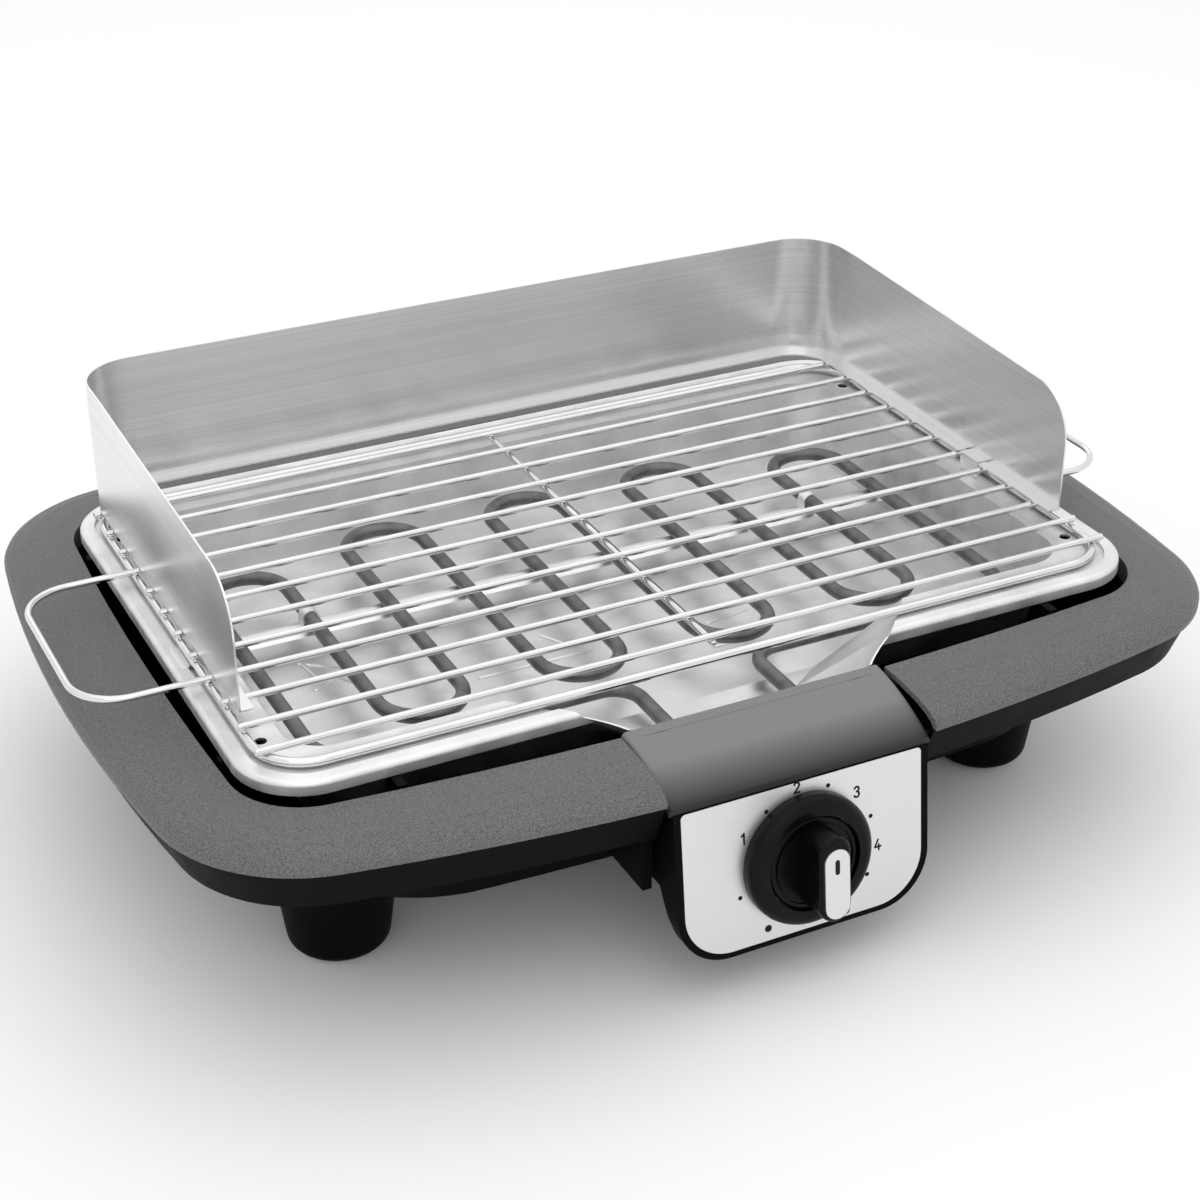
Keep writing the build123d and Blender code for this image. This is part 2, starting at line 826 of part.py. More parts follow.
outer_plan = shield_plan(0, shield_front_y)
inner_plan = shield_plan(shield_sheet, shield_front_y + cut_margin)
flange_plan = shield_plan(shield_sheet + shield_flange, shield_front_y + cut_margin)
shield = extrude(Pos(0, 0, shield_bottom_z) * (outer_plan - inner_plan), shield_height)
bottom_flange = extrude(Pos(0, 0, shield_bottom_z) * (outer_plan - flange_plan), shield_sheet)
relief_half = shield_tab_width / 2 + shield_tab_relief
bottom_flange -= block(
    -shield_half_x - cut_margin,
    shield_half_x + cut_margin,
    -shield_tab_y - relief_half,
    -shield_tab_y + relief_half,
    shield_bottom_z,
    shield_bottom_z + shield_sheet,
)
nose_z = shield_top_z - shield_front_drop
side_profile = make_face(
    Polyline(
        (shield_back_y + cut_margin, shield_bottom_z),
        (shield_back_y + cut_margin, shield_top_z),
        (shield_level_y, shield_top_z),
        (-shield_front_y, nose_z),
        (-shield_front_y, shield_bottom_z),
        close=True,
    )
)
nose = [v for v in side_profile.vertices() if v.X < 0 and v.Y > shield_bottom_z + shield_sheet]
side_profile = fillet(nose, shield_nose_round)
shield &= extrude(Plane.YZ * side_profile, shield_half_x + cut_margin, both=True)
shield += bottom_flange
tab_bottom_z = ledge_z + shield_tab_clear
tab_x = shield_half_x - shield_sheet - shield_tab_set
for side in (-1, 1):
    for x0, x1, z0 in [
        (tab_x, shield_half_x, shield_bottom_z),
        (tab_x - shield_sheet, tab_x, tab_bottom_z),
    ]:
        shield += block(
            side * x0,
            side * x1,
            -shield_tab_y - shield_tab_width / 2,
            -shield_tab_y + shield_tab_width / 2,
            z0,
            shield_bottom_z + shield_sheet,
        )
pieces["windshield"] = shield

# Heating element: ten runs joined by bends, with two legs to the control box
tube_end_y = box_rear_y + tube_end_inset
run_x = [(index - (run_count - 1) / 2) * run_pitch for index in range(run_count)]
turn = run_pitch / 2
diagonal_share = math.sqrt(0.5)


def element_path():
    """Left leg, left corner, the runs, right corner, right leg."""
    first = run_x[0]
    last = run_x[-1]
    leg_arc = leg_bend * diagonal_share
    run_arc = run_bend * diagonal_share
    leg_top = -front_run_y - leg_bend
    run_low = -front_run_y + run_bend
    edges = [Line((-leg_x, -tube_end_y), (-leg_x, leg_top))]
    centre = (-leg_x - leg_bend, leg_top)
    mid = (centre[0] + leg_arc, centre[1] + leg_arc)
    edges.append(ThreePointArc((-leg_x, leg_top), mid, (centre[0], -front_run_y)))
    edges.append(Line((centre[0], -front_run_y), (first + run_bend, -front_run_y)))
    mid = (first + run_bend - run_arc, run_low - run_arc)
    edges.append(ThreePointArc((first + run_bend, -front_run_y), mid, (first, run_low)))
    y = run_low
    for index in range(run_count - 1):
        x = run_x[index]
        upward = index % 2 == 0
        if upward:
            outer = index in (0, run_count - 2)
            stop = (outer_back_y if outer else inner_back_y) - turn
            mid = (x + turn, stop + turn)
        else:
            stop = -front_bend_y + turn
            mid = (x + turn, stop - turn)
        edges.append(Line((x, y), (x, stop)))
        edges.append(ThreePointArc((x, stop), mid, (x + run_pitch, stop)))
        y = stop
    edges.append(Line((last, y), (last, run_low)))
    mid = (last - run_bend + run_arc, run_low - run_arc)
    edges.append(ThreePointArc((last, run_low), mid, (last - run_bend, -front_run_y)))
    centre = (leg_x + leg_bend, leg_top)
    edges.append(Line((last - run_bend, -front_run_y), (centre[0], -front_run_y)))
    mid = (centre[0] - leg_arc, centre[1] + leg_arc)
    edges.append(ThreePointArc((centre[0], -front_run_y), mid, (leg_x, leg_top)))
    edges.append(Line((leg_x, leg_top), (leg_x, -tube_end_y)))
    return Pos(0, 0, element_z) * Wire(edges)


pieces["heating_element"] = bent_wire(element_path(), tube_radius)
pins = []
for side in (-1, 1):
    pins.append(along_y(side * leg_x, element_z, -tube_end_y - pin_length, -tube_end_y, pin_radius))
pieces["element_pins"] = Compound(children=pins)

# Support strip under the runs and the two clips that hold it
strip_top_z = element_z - tube_radius - weld_gap
strip_low_z = strip_top_z - strip_crown
strip_half = strip_width / 2
strip_profile = make_face(
    [
        ThreePointArc(
            (strip_y - strip_half, strip_low_z),
            (strip_y, strip_top_z),
            (strip_y + strip_half, strip_low_z),
        ),
        Line((strip_y + strip_half, strip_low_z), (strip_y + strip_half - strip_sheet, strip_low_z)),
        ThreePointArc(
            (strip_y + strip_half - strip_sheet, strip_low_z),
            (strip_y, strip_top_z - strip_sheet),
            (strip_y - strip_half + strip_sheet, strip_low_z),
        ),
        Line((strip_y - strip_half + strip_sheet, strip_low_z), (strip_y - strip_half, strip_low_z)),
    ]
)
strip = Pos(-strip_left, 0, 0) * extrude(Plane.YZ * strip_profile, strip_left + strip_right)
clips = []
clip_y0 = strip_y - clip_width / 2
clip_y1 = strip_y + clip_width / 2
clip_in = tube_radius + weld_gap
clip_out = clip_in + clip_sheet
for x in (run_x[1], run_x[-2]):
    hoop = along_y(x, element_z, clip_y0, clip_y1, clip_out)
    hoop += block(x - clip_out, x + clip_out, clip_y0, clip_y1, strip_low_z, element_z)
    hoop -= along_y(x, element_z, clip_y0, clip_y1, clip_in)
    hoop -= block(x - clip_in, x + clip_in, clip_y0, clip_y1, strip_low_z - strip_sheet, element_z)
    clips.append(hoop)
    strip -= block(
        x - clip_out - weld_gap,
        x - clip_in + weld_gap,
        clip_y0 - weld_gap,
        clip_y1 + weld_gap,
        strip_low_z - strip_sheet,
        element_z,
    )
    strip -= block(
        x + clip_in - weld_gap,
        x + clip_out + weld_gap,
        clip_y0 - weld_gap,
        clip_y1 + weld_gap,
        strip_low_z - strip_sheet,
        element_z,
    )
pieces["element_support_strip"] = strip
pieces["element_clips"] = Compound(children=clips)

# Control box: housing and top cover
cover_rear_z = box_seat_z + cover_rear_rise
cover_front_z = box_seat_z + cover_front_rise
cover_mid_y = (box_rear_y + cover_front_y) / 2
cover_mid_z = (cover_rear_z + cover_front_z) / 2 + cover_bulge


def cover_arc(drop):
    """Curve of the box top from back to front, lowered by drop."""
    return ThreePointArc(
        (-box_rear_y, cover_rear_z - drop),
        (-cover_mid_y, cover_mid_z - drop),
        (-cover_front_y, cover_front_z - drop),
    )


cover = make_face(
    [
        cover_arc(0),
        Line((-cover_front_y, cover_front_z), (-cover_front_y, cover_front_z - cover_thickness)),
        cover_arc(cover_thickness),
        Line((-box_rear_y, cover_rear_z - cover_thickness), (-box_rear_y, cover_rear_z)),
    ]
)
cover = extrude(Plane.YZ * cover, cover_half_width, both=True)
cover_edges = [e for e in cover.edges() if abs(abs(e.center().X) - cover_half_width) < weld_gap]
cover_edges = [e for e in cover_edges if e.center().Z > cover_mid_z - cover_thickness / 2]
cover_edges = [e for e in cover_edges if e.geom_type == GeomType.CIRCLE]
cover = fillet(cover_edges, cover_edge_round)
for side in (-1, 1):
    cover -= block(
        side * cover_slot_x - cover_slot_length / 2,
        side * cover_slot_x + cover_slot_length / 2,
        -box_rear_y - cover_slot_set - cover_slot_width,
        -box_rear_y - cover_slot_set,
        cover_rear_z - cover_slot_set / 2 - cover_slot_depth,
        cover_rear_z + cover_slot_depth,
    )
pieces["control_top_cover"] = cover

rear_top_z = cover_rear_z - cover_thickness
deep_bottom_z = box_seat_z - box_deep_drop
lip_top_z = box_bottom_z + lip_height
bulge_bottom_z = deep_bottom_z - bulge_drop
front_top_z = cover_front_z - cover_thickness
housing = make_face(
    [
        cover_arc(cover_thickness),
        Polyline(
            (-cover_front_y, front_top_z),
            (-front_y(front_top_z), front_top_z),
            (-front_y(box_bottom_z), box_bottom_z),
            (-front_y(box_bottom_z, lip_depth), box_bottom_z),
            (-front_y(lip_top_z, lip_depth), lip_top_z),
            (-box_deep_front_y, deep_bottom_z),
            (-box_step_y, deep_bottom_z),
            (-box_step_y, box_seat_z),
            (-box_rear_y, box_seat_z),
            (-box_rear_y, rear_top_z),
        ),
    ]
)
housing = extrude(Plane.YZ * housing, box_half_width, both=True)
corner_edges = []
for edge in housing.edges():
    middle = edge.center()
    outside = abs(abs(middle.X) - box_half_width) < weld_gap
    low = middle.Z < box_bottom_z + box_wall
    if outside and low:
        corner_edges.append(edge)
housing = fillet(corner_edges, box_bottom_corner)
front_skin = box_wall + plate_sheet
cavity_bottom_z = deep_bottom_z + box_wall
cavity_top_z = cover_rear_z
cavity_rear_y = -box_step_y - box_wall
cavity_half = box_half_width - box_wall


def bulge_solid(inset, front_depth, top_z):
    """Pocket for the thermostat in the middle of the box, below the deep part."""
    low_z = bulge_bottom_z + inset
    profile = Polygon(
        (-box_step_y - inset, top_z),
        (-front_y(top_z, front_depth), top_z),
        (-front_y(low_z, front_depth), low_z),
        (-box_step_y - inset - bulge_chamfer, low_z),
        (-box_step_y - inset, low_z + bulge_chamfer),
        align=None,
    )
    return extrude(Plane.YZ * profile, bulge_half - inset, both=True)


cavity = Polygon(
    (-box_rear_y - box_wall, cavity_top_z),
    (-front_y(cavity_top_z, front_skin), cavity_top_z),
    (-front_y(cavity_bottom_z, front_skin), cavity_bottom_z),
    (cavity_rear_y, cavity_bottom_z),
    (cavity_rear_y, box_seat_z + box_wall),
    (-box_rear_y - box_wall, box_seat_z + box_wall),
    align=None,
)
housing += bulge_solid(0, box_wall, cavity_bottom_z)
housing -= extrude(Plane.YZ * cavity, cavity_half, both=True)
housing -= bulge_solid(box_wall, front_skin, cavity_bottom_z + box_wall)

# Front plate let into the housing
plate_top = (plate_top_z - dial_z) / tilt_cos - plate_top_gap
plate_low = (dial_z - box_bottom_z) / tilt_cos - plate_border
plate_height = plate_top + plate_low


def plate_face(grow):
    """Outline of the front plate, larger by grow on all sides."""
    face = Rectangle(2 * (plate_half_width + grow), plate_height + 2 * grow)
    face = fillet(face.vertices().group_by(Axis.Y)[0], plate_corner_low + grow)
    face = fillet(face.vertices().group_by(Axis.Y)[-1], plate_corner_high + grow)
    return Pos(0, (plate_top - plate_low) / 2) * face


plate = extrude(dial_plane * plate_face(0), -plate_sheet)
housing -= extrude(dial_plane * plate_face(panel_gap), -plate_sheet)
plate -= on_dial(-plate_sheet, plate_sheet, bush_radius + bush_clear)
housing -= on_dial(-2 * front_skin, 0, bush_radius + bush_clear)

# Element plate behind the rear wall, with rivets
plate_y0 = -box_rear_y - box_wall - flange_plate_sheet
plate_y1 = -box_rear_y - box_wall
flange_z = element_z
element_plate = block(
    -flange_plate_width / 2,
    flange_plate_width / 2,
    plate_y0,
    plate_y1,
    flange_z - flange_plate_height / 2,
    flange_z + flange_plate_height / 2,
)
rivets = []
for side in (-1, 1):
    leg = along_y(
        side * leg_x, element_z, plate_y0 - cut_margin, -box_rear_y + cut_margin, tube_radius + weld_gap
    )
    housing -= leg
    element_plate -= leg
    rivet_line = side * rivet_x
    hole = along_y(
        rivet_line, flange_z, plate_y0 - weld_gap, -box_rear_y + weld_gap, rivet_radius + weld_gap
    )
    housing -= hole
    element_plate -= hole
    tail_y = plate_y0 - rivet_head_height
    rivet = along_y(rivet_line, flange_z, tail_y, -box_rear_y + rivet_head_height, rivet_radius)
    rivet += along_y(
        rivet_line, flange_z, -box_rear_y, -box_rear_y + rivet_head_height, rivet_head_radius
    )
    rivet += along_y(rivet_line, flange_z, tail_y, plate_y0, rivet_head_radius)
    rivets.append(rivet)
pieces["element_plate"] = element_plate
pieces["element_rivets"] = Compound(children=rivets)

# Cord gland in the underside of the deep part, open for a cord
gland_plane = Plane(origin=(gland_x, -gland_y, deep_bottom_z), x_dir=(1, 0, 0), z_dir=(0, 0, -1))


def on_gland(z0, z1, radius):
    """Round bar along the gland axis, from z0 to z1 below the wall."""
    return gland_plane * Pos(0, 0, (z0 + z1) / 2) * Cylinder(radius, z1 - z0)


gland_inside = -box_wall - gland_neck_reach
housing -= on_gland(-2 * box_wall, weld_gap, gland_neck_radius + weld_gap)
gland = on_gland(gland_inside, gland_flange_height, gland_neck_radius)
gland += on_gland(0, gland_flange_height, gland_flange_radius)
gland -= on_gland(gland_inside - weld_gap, gland_flange_height + weld_gap, gland_bore)
pieces["cord_gland"] = gland
pieces["control_housing"] = housing
pieces["front_plate"] = plate

# Dial collar on the plate
collar = on_dial(0, collar_height, collar_radius)
collar = fillet(collar.edges().sort_by(Axis(dial_plane.origin, dial_plane.z_dir))[-1], collar_round)
collar -= on_dial(0, collar_height, collar_bore)
pieces["dial_collar"] = collar

# Thermostat with bush, bracket, nut and tabs
bracket_front = -front_skin
body_front = bracket_front - bracket_sheet
body_back = body_front - thermostat_depth
bracket_middle = (bracket_front + body_front) / 2
bracket = dial_plane * Pos(0, 0, bracket_middle) * Box(bracket_width, bracket_height, bracket_sheet)
bracket -= on_dial(body_front, bracket_front, bush_radius + bush_clear)
pieces["thermostat_bracket"] = bracket
thermostat = on_dial(body_back, body_front, thermostat_radius)
thermostat += on_dial(body_front, bush_reach, bush_radius)
thermostat -= on_dial(body_front - shaft_tail, bush_reach, shaft_radius + running_gap)
pieces["thermostat_body"] = thermostat
nut = extrude(dial_plane * RegularPolygon(nut_across / 2, nut_sides, major_radius=False), nut_height)
nut -= on_dial(0, nut_height, bush_radius + weld_gap)
pieces["thermostat_nut"] = nut
tabs = []
for side in (-1, 1):
    tab = Pos(side * tab_spread, 0, body_back - tab_length / 2) * Box(tab_width, tab_sheet, tab_length)
    tabs.append(dial_plane * tab)
pieces["thermostat_tabs"] = Compound(children=tabs)

# Knob: disc with grip, metal cap, shaft and spring clip
knob = on_dial(knob_lift, knob_disc_height, knob_radius)
dial_axis = Axis(dial_plane.origin, dial_plane.z_dir)
knob = fillet(knob.edges().sort_by(dial_axis)[-1], knob_disc_round)
groove_floor = knob_disc_height - knob_groove_depth
groove = on_dial(groove_floor, knob_disc_height, knob_groove_radius + knob_groove_width / 2)
groove -= on_dial(groove_floor, knob_disc_height, knob_groove_radius - knob_groove_width / 2)
knob -= groove
grip_face = Rot(0, 0, quarter_turn) * SlotOverall(grip_length, grip_width)
grip = extrude(dial_plane * Pos(0, 0, knob_disc_height / 2) * grip_face, grip_height - knob_disc_height / 2)
grip = fillet(grip.faces().sort_by(dial_axis)[-1].edges(), grip_round)
knob += grip
cap_base = grip_height - knob_cap_recess
cap_pocket = Rot(0, 0, quarter_turn) * SlotOverall(
    knob_cap_length + 2 * weld_gap, knob_cap_width + 2 * weld_gap
)
knob -= extrude(dial_plane * Pos(0, -knob_cap_shift, cap_base) * cap_pocket, knob_cap_sheet)
knob -= on_dial(0, nut_pocket_depth, nut_pocket_radius)
knob_bore_top = nut_pocket_depth + shaft_grip
knob -= on_dial(knob_lift, knob_bore_top + weld_gap, shaft_radius + weld_gap)
clip_low = nut_pocket_depth + spring_clip_sheet
spring_y0 = shaft_radius + weld_gap
clip_slot = Pos(0, spring_y0, clip_low + spring_clip_length / 2) * Box(
    spring_clip_width + 2 * weld_gap,
    2 * (spring_clip_sheet + weld_gap),
    spring_clip_length + 2 * weld_gap,
)
knob -= dial_plane * clip_slot
pieces["knob_body"] = knob
cap_face = Rot(0, 0, quarter_turn) * SlotOverall(knob_cap_length, knob_cap_width)
pieces["knob_cap"] = extrude(dial_plane * Pos(0, -knob_cap_shift, cap_base) * cap_face, knob_cap_sheet)
clip_middle_y = spring_y0 + spring_clip_sheet / 2
spring_clip = Pos(0, clip_middle_y, clip_low + spring_clip_length / 2) * Box(
    spring_clip_width, spring_clip_sheet, spring_clip_length
)
pieces["knob_spring_clip"] = dial_plane * spring_clip
shaft_low = body_front - shaft_tail + running_gap
shaft = on_dial(shaft_low, knob_bore_top, shaft_radius)
flat = Pos(0, shaft_radius - shaft_flat / 2, knob_bore_top - shaft_grip / 2) * Box(
    2 * shaft_radius, shaft_flat, shaft_grip
)
pieces["thermostat_shaft"] = shaft - dial_plane * flat

# Terminal block, fuse with clip, and lead wires
block_z0 = cavity_bottom_z + block_z_rise
block_z1 = block_z0 + block_height
terminal_block = block(
    block_x - block_width / 2,
    block_x + block_width / 2,
    cavity_rear_y - block_depth,
    cavity_rear_y,
    block_z0,
    block_z1,
)
block_y = cavity_rear_y - block_depth / 2
for side in (-1, 1):
    hole_x = block_x + side * block_hole_spread
    terminal_block -= upright(hole_x, block_y, block_z0, block_z1, block_hole_radius)
pieces["terminal_block"] = terminal_block
fuse_y = cavity_rear_y - fuse_set
fuse_z = block_z1 - fuse_rise
fuse_z1 = fuse_z + fuse_length / 2
fuse_z0 = fuse_z - fuse_length / 2
pieces["thermal_fuse"] = upright(-fuse_x, fuse_y, fuse_z0, fuse_z1, fuse_radius)
clip_hold = fuse_radius + weld_gap
fuse_clip = upright(
    -fuse_x, fuse_y, fuse_z - fuse_clip_width / 2, fuse_z + fuse_clip_width / 2, clip_hold + fuse_clip_sheet
)
fuse_clip += block(
    -fuse_x - fuse_clip_sheet,
    -fuse_x + fuse_clip_sheet,
    fuse_y,
    cavity_rear_y,
    fuse_z - fuse_clip_width / 2,
    fuse_z + fuse_clip_width / 2,
)
fuse_clip -= upright(
    -fuse_x, fuse_y, fuse_z - fuse_clip_width, fuse_z + fuse_clip_width, clip_hold
)
pieces["fuse_clip"] = fuse_clip


def lead(points):
    """Insulated lead along bent straight stretches."""
    return bent_wire(FilletPolyline(*points, radius=wire_bend), wire_radius)


pin_end_y = -tube_end_y - pin_length
tab_end = []
for side in (-1, 1):
    place = dial_plane.from_local_coords((side * tab_spread, 0, body_back - tab_length - weld_gap))
    tab_end.append(place)
tab_y = tab_end[0].Y + tab_lead
pin_lead_y = pin_end_y - weld_gap
neutral = lead(
    [
        (leg_x, pin_lead_y, element_z),
        (leg_x, pin_lead_y - wire_stub, element_z),
        (block_x + block_hole_spread, pin_lead_y - wire_stub, element_z - wire_stub),
        (block_x + block_hole_spread, block_y, block_z1 + wire_stub),
        (block_x + block_hole_spread, block_y, block_z1 - wire_stub / 2),
    ]
)
live = lead(
    [
        (tab_end[1].X, tab_end[1].Y, tab_end[1].Z),
        (tab_end[1].X, tab_y, tab_end[1].Z),
        (tab_end[1].X, tab_y, block_z1 + wire_stub),
        (block_x - block_hole_spread, block_y, block_z1 + wire_stub),
        (block_x - block_hole_spread, block_y, block_z1 - wire_stub / 2),
    ]
)
load = lead(
    [
        (tab_end[0].X, tab_end[0].Y, tab_end[0].Z),
        (tab_end[0].X, tab_y, tab_end[0].Z),
        (-fuse_x, fuse_y, fuse_z0 - wire_stub),
        (-fuse_x, fuse_y, fuse_z0 - weld_gap),
    ]
)
fused = lead(
    [
        (-fuse_x, fuse_y, fuse_z1 + weld_gap),
        (-fuse_x, fuse_y, fuse_z1 + wire_stub),
        (-leg_x, pin_lead_y - wire_stub, element_z),
        (-leg_x, pin_lead_y, element_z),
    ]
)
pieces["lead_wires"] = Compound(children=[neutral, live, load, fused])

for name, piece in pieces.items():
    export_step(piece, f"parts/{name}.step")
    print(name, len(piece.solids()))
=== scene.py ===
import json
import math

import bmesh
import bpy
from mathutils import Matrix, Vector


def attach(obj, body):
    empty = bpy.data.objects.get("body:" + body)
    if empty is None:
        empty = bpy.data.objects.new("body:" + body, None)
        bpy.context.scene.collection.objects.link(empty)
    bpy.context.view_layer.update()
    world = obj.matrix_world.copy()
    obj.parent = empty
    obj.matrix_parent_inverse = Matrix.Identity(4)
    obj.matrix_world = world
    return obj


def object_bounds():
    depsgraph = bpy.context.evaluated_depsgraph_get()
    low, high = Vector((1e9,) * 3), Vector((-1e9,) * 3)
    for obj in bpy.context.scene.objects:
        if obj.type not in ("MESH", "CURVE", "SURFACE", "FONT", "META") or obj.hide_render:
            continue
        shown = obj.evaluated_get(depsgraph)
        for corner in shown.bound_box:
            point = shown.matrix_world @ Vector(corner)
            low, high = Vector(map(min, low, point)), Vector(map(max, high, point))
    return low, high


bl_info = {
    "name": "Electric table grill",
    "version": (1, 0, 0),
    "blender": (4, 5, 0),
    "location": "View3D > Sidebar > Grill",
    "description": "Finishes, dial print, tray beads and studio for an electric table grill",
    "category": "Object",
}

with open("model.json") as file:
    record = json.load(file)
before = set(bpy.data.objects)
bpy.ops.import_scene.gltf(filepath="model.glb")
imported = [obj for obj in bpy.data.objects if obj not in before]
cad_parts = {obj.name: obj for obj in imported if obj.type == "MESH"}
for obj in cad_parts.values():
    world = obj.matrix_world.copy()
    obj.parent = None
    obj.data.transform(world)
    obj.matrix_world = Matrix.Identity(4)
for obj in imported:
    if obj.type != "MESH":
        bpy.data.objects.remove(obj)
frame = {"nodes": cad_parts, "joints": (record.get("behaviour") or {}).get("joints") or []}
cad_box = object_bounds()
nodes = frame["nodes"]

MM = 0.001
PLUMB_START = 1.0  # height over the CAD model from which a plumb line is dropped
BEAD_MESH = {"u_segments": 16, "v_segments": 8}
TIP_MESH = {"u_segments": 24, "v_segments": 12}
DOT_SEGMENTS = 32

# The dial's own axes, from the hinge that the knob turns on
knob_joint = next(joint for joint in frame["joints"] if joint["name"] == "knob_turn")
dial_out = Vector(knob_joint["axis"]).normalized()
dial_right = Vector((1.0, 0.0, 0.0))
dial_up = dial_out.cross(dial_right)
dial_centre = Vector(knob_joint["pos_m"])


def colour_prop(name, description, value):
    """A colour that a user may change."""
    return bpy.props.FloatVectorProperty(
        name=name, description=description, default=value, subtype="COLOR", size=3, min=0.0, max=1.0
    )


def length_prop(name, description, value):
    """A length in metres that a user may change."""
    return bpy.props.FloatProperty(
        name=name, description=description, default=value, unit="LENGTH", min=0.0, precision=5
    )


def share_prop(name, description, value):
    """A share between nothing and all that a user may change."""
    return bpy.props.FloatProperty(
        name=name, description=description, default=value, subtype="FACTOR", min=0.0, max=1.0
    )


class GrillFinishes(bpy.types.PropertyGroup):
    """Colours of the grill's materials."""

    black_plastic: colour_prop("Base black", "Bowl, feet and control housing", (0.0022, 0.0022, 0.0024))
    bezel_grey: colour_prop("Bezel grey", "Grained plastic of the bezel ring", (0.112, 0.112, 0.114))
    cover_grey: colour_prop("Cover grey", "Plastic of the control box cover", (0.205, 0.205, 0.207))
    # Painted shade: this colour darkens the cover towards its front edge in place of the shading of a
    # front that curves down.
    cover_painted_shade: colour_prop("Cover painted shade", "The cover's darker front edge", (0.018, 0.018, 0.019))
    dial_black: colour_prop("Dial black", "Collar and knob", (0.0022, 0.0022, 0.0024))
    rubber_black: colour_prop("Rubber", "Foot pads and cord gland", (0.018, 0.018, 0.018))
    tray_steel: colour_prop("Tray steel", "Rolled sheet of the tray", (0.79, 0.79, 0.79))
    strip_steel: colour_prop("Strip steel", "Support strip and clips", (0.94, 0.94, 0.94))
    shield_steel: colour_prop("Windshield steel", "Brushed sheet of the windshield", (0.80, 0.80, 0.80))
    wire_chrome: colour_prop("Wire chrome", "Plating of the wire grid", (0.74, 0.74, 0.75))
    plate_silver: colour_prop("Plate silver", "Brushed front plate and knob cap", (0.74, 0.74, 0.745))
    sheath_grey: colour_prop("Sheath grey", "Oxidised sheath of the heating tube", (0.16, 0.16, 0.16))
    zinc: colour_prop("Zinc", "Screws, rivets and brackets", (0.58, 0.58, 0.60))
    ceramic: colour_prop("Ceramic", "Thermostat body and terminal block", (0.74, 0.73, 0.69))
    brass: colour_prop("Brass", "Thermostat tabs", (0.70, 0.54, 0.28))
    sleeve: colour_prop("Sleeve", "Sleeving of the leads", (0.62, 0.61, 0.57))
    print_black: colour_prop("Print", "Dial numbers, dots and pointer", (0.008, 0.008, 0.008))


class GrillDial(bpy.types.PropertyGroup):
    """Sizes of the print on the front plate and on the knob."""

    number_radius: length_prop("Number circle", "Radius on which the numbers stand", 33.2 * MM)
    dot_circle: length_prop("Dot circle", "Radius on which the dots stand", 31.8 * MM)
    print_shift: length_prop("Print shift", "How far the print sits to the right of the knob", 0.75 * MM)
    print_drop: length_prop("Print drop", "How far the print sits below the knob", 1.9 * MM)
    number_height: length_prop("Number height", "Height of a digit", 4.6 * MM)
    stroke_width: length_prop("Stroke", "Width of a digit's stroke", 0.95 * MM)
    dot_radius: length_prop("Dot", "Radius of a half-step dot", 0.95 * MM)
    off_dot_radius: length_prop("Off dot", "Radius of the dot at the off place", 1.6 * MM)
    print_thickness: length_prop("Print thickness", "How far the print stands on the plate", 0.06 * MM)
    pointer_length: length_prop("Pointer length", "Length of the mark on the knob cap", 6.6 * MM)
    pointer_width: length_prop("Pointer width", "Width of the mark on the knob cap", 2.2 * MM)
    pointer_inset: length_prop("Pointer inset", "Space from the mark to the cap's upper end", 4.4 * MM)


class GrillTrayMarks(bpy.types.PropertyGroup):
    """Sizes of the pressed beads in the tray."""

    bead_width: length_prop("Bead width", "Width of a pressed bead in the tray floor", 3.0 * MM)
    bead_height: length_prop("Bead height", "Height of a pressed bead over the floor", 0.8 * MM)
    loop_length: length_prop("Loop length", "Length of the oblong bead on the ledge", 19.0 * MM)
    loop_width: length_prop("Loop width", "Width of the oblong bead", 4.2 * MM)
    loop_height: length_prop("Loop height", "Height of the oblong bead over the ledge", 0.5 * MM)
    loop_place: bpy.props.FloatVectorProperty(
        name="Loop place",
        description="Middle of the oblong bead on the left ledge",
        default=(-199.0 * MM, -21.5 * MM),
        subtype="XYZ",
        unit="LENGTH",
        size=2,
    )


class GrillGridMarks(bpy.types.PropertyGroup):
    """Sizes of the welds on the wire grid and of the line on the control box cover."""

    weld_radius: length_prop("Weld radius", "Radius of a weld bead on the grid", 1.1 * MM)
    line_width: length_prop("Line width", "Width of the raised line on the cover", 1.2 * MM)
    line_height: length_prop("Line height", "Height of the raised line on the cover", 0.2 * MM)
    line_inset: length_prop("Line inset", "Distance of the line from the cover's back edge", 4.5 * MM)
    line_end: length_prop("Line end", "Distance of the line's ends from the cover's sides", 7.0 * MM)


class GrillStage(bpy.types.PropertyGroup):
    """Camera, light and floor."""

    azimuth: bpy.props.FloatProperty(
        name="Azimuth",
        description="Camera turn round the grill, from the front",
        default=math.radians(-26.63),
        subtype="ANGLE",
    )
    elevation: bpy.props.FloatProperty(
        name="Elevation",
        description="Camera height over the horizon",
        default=math.radians(29.07),
        subtype="ANGLE",
    )
    distance: length_prop("Distance", "Camera to the point that it aims at", 1.02292)
    aim: bpy.props.FloatVectorProperty(
        name="Aim",
        description="Point that the camera looks at",
        default=(-0.0046, -0.0157, 0.0871),
        subtype="XYZ",
        unit="LENGTH",
        size=3,
    )
    lens: bpy.props.FloatProperty(
        name="Lens", description="Focal length on a 36 mm sensor", default=68.56, unit="CAMERA", min=10.0
    )
    floor_white: share_prop("Floor white", "Shade of the floor", 0.97)
    sky_level: share_prop("Sky level", "Even light from all round", 0.90)
    key_power: bpy.props.FloatProperty(
        name="Key power", description="Soft box over the front left", default=4.0, unit="POWER", min=0.0
    )
    top_power: bpy.props.FloatProperty(
        name="Top power", description="Soft box over the grill", default=4.5, unit="POWER", min=0.0
    )
    rear_power: bpy.props.FloatProperty(
        name="Rear power", description="Strip light behind the grill", default=0.8, unit="POWER", min=0.0
    )


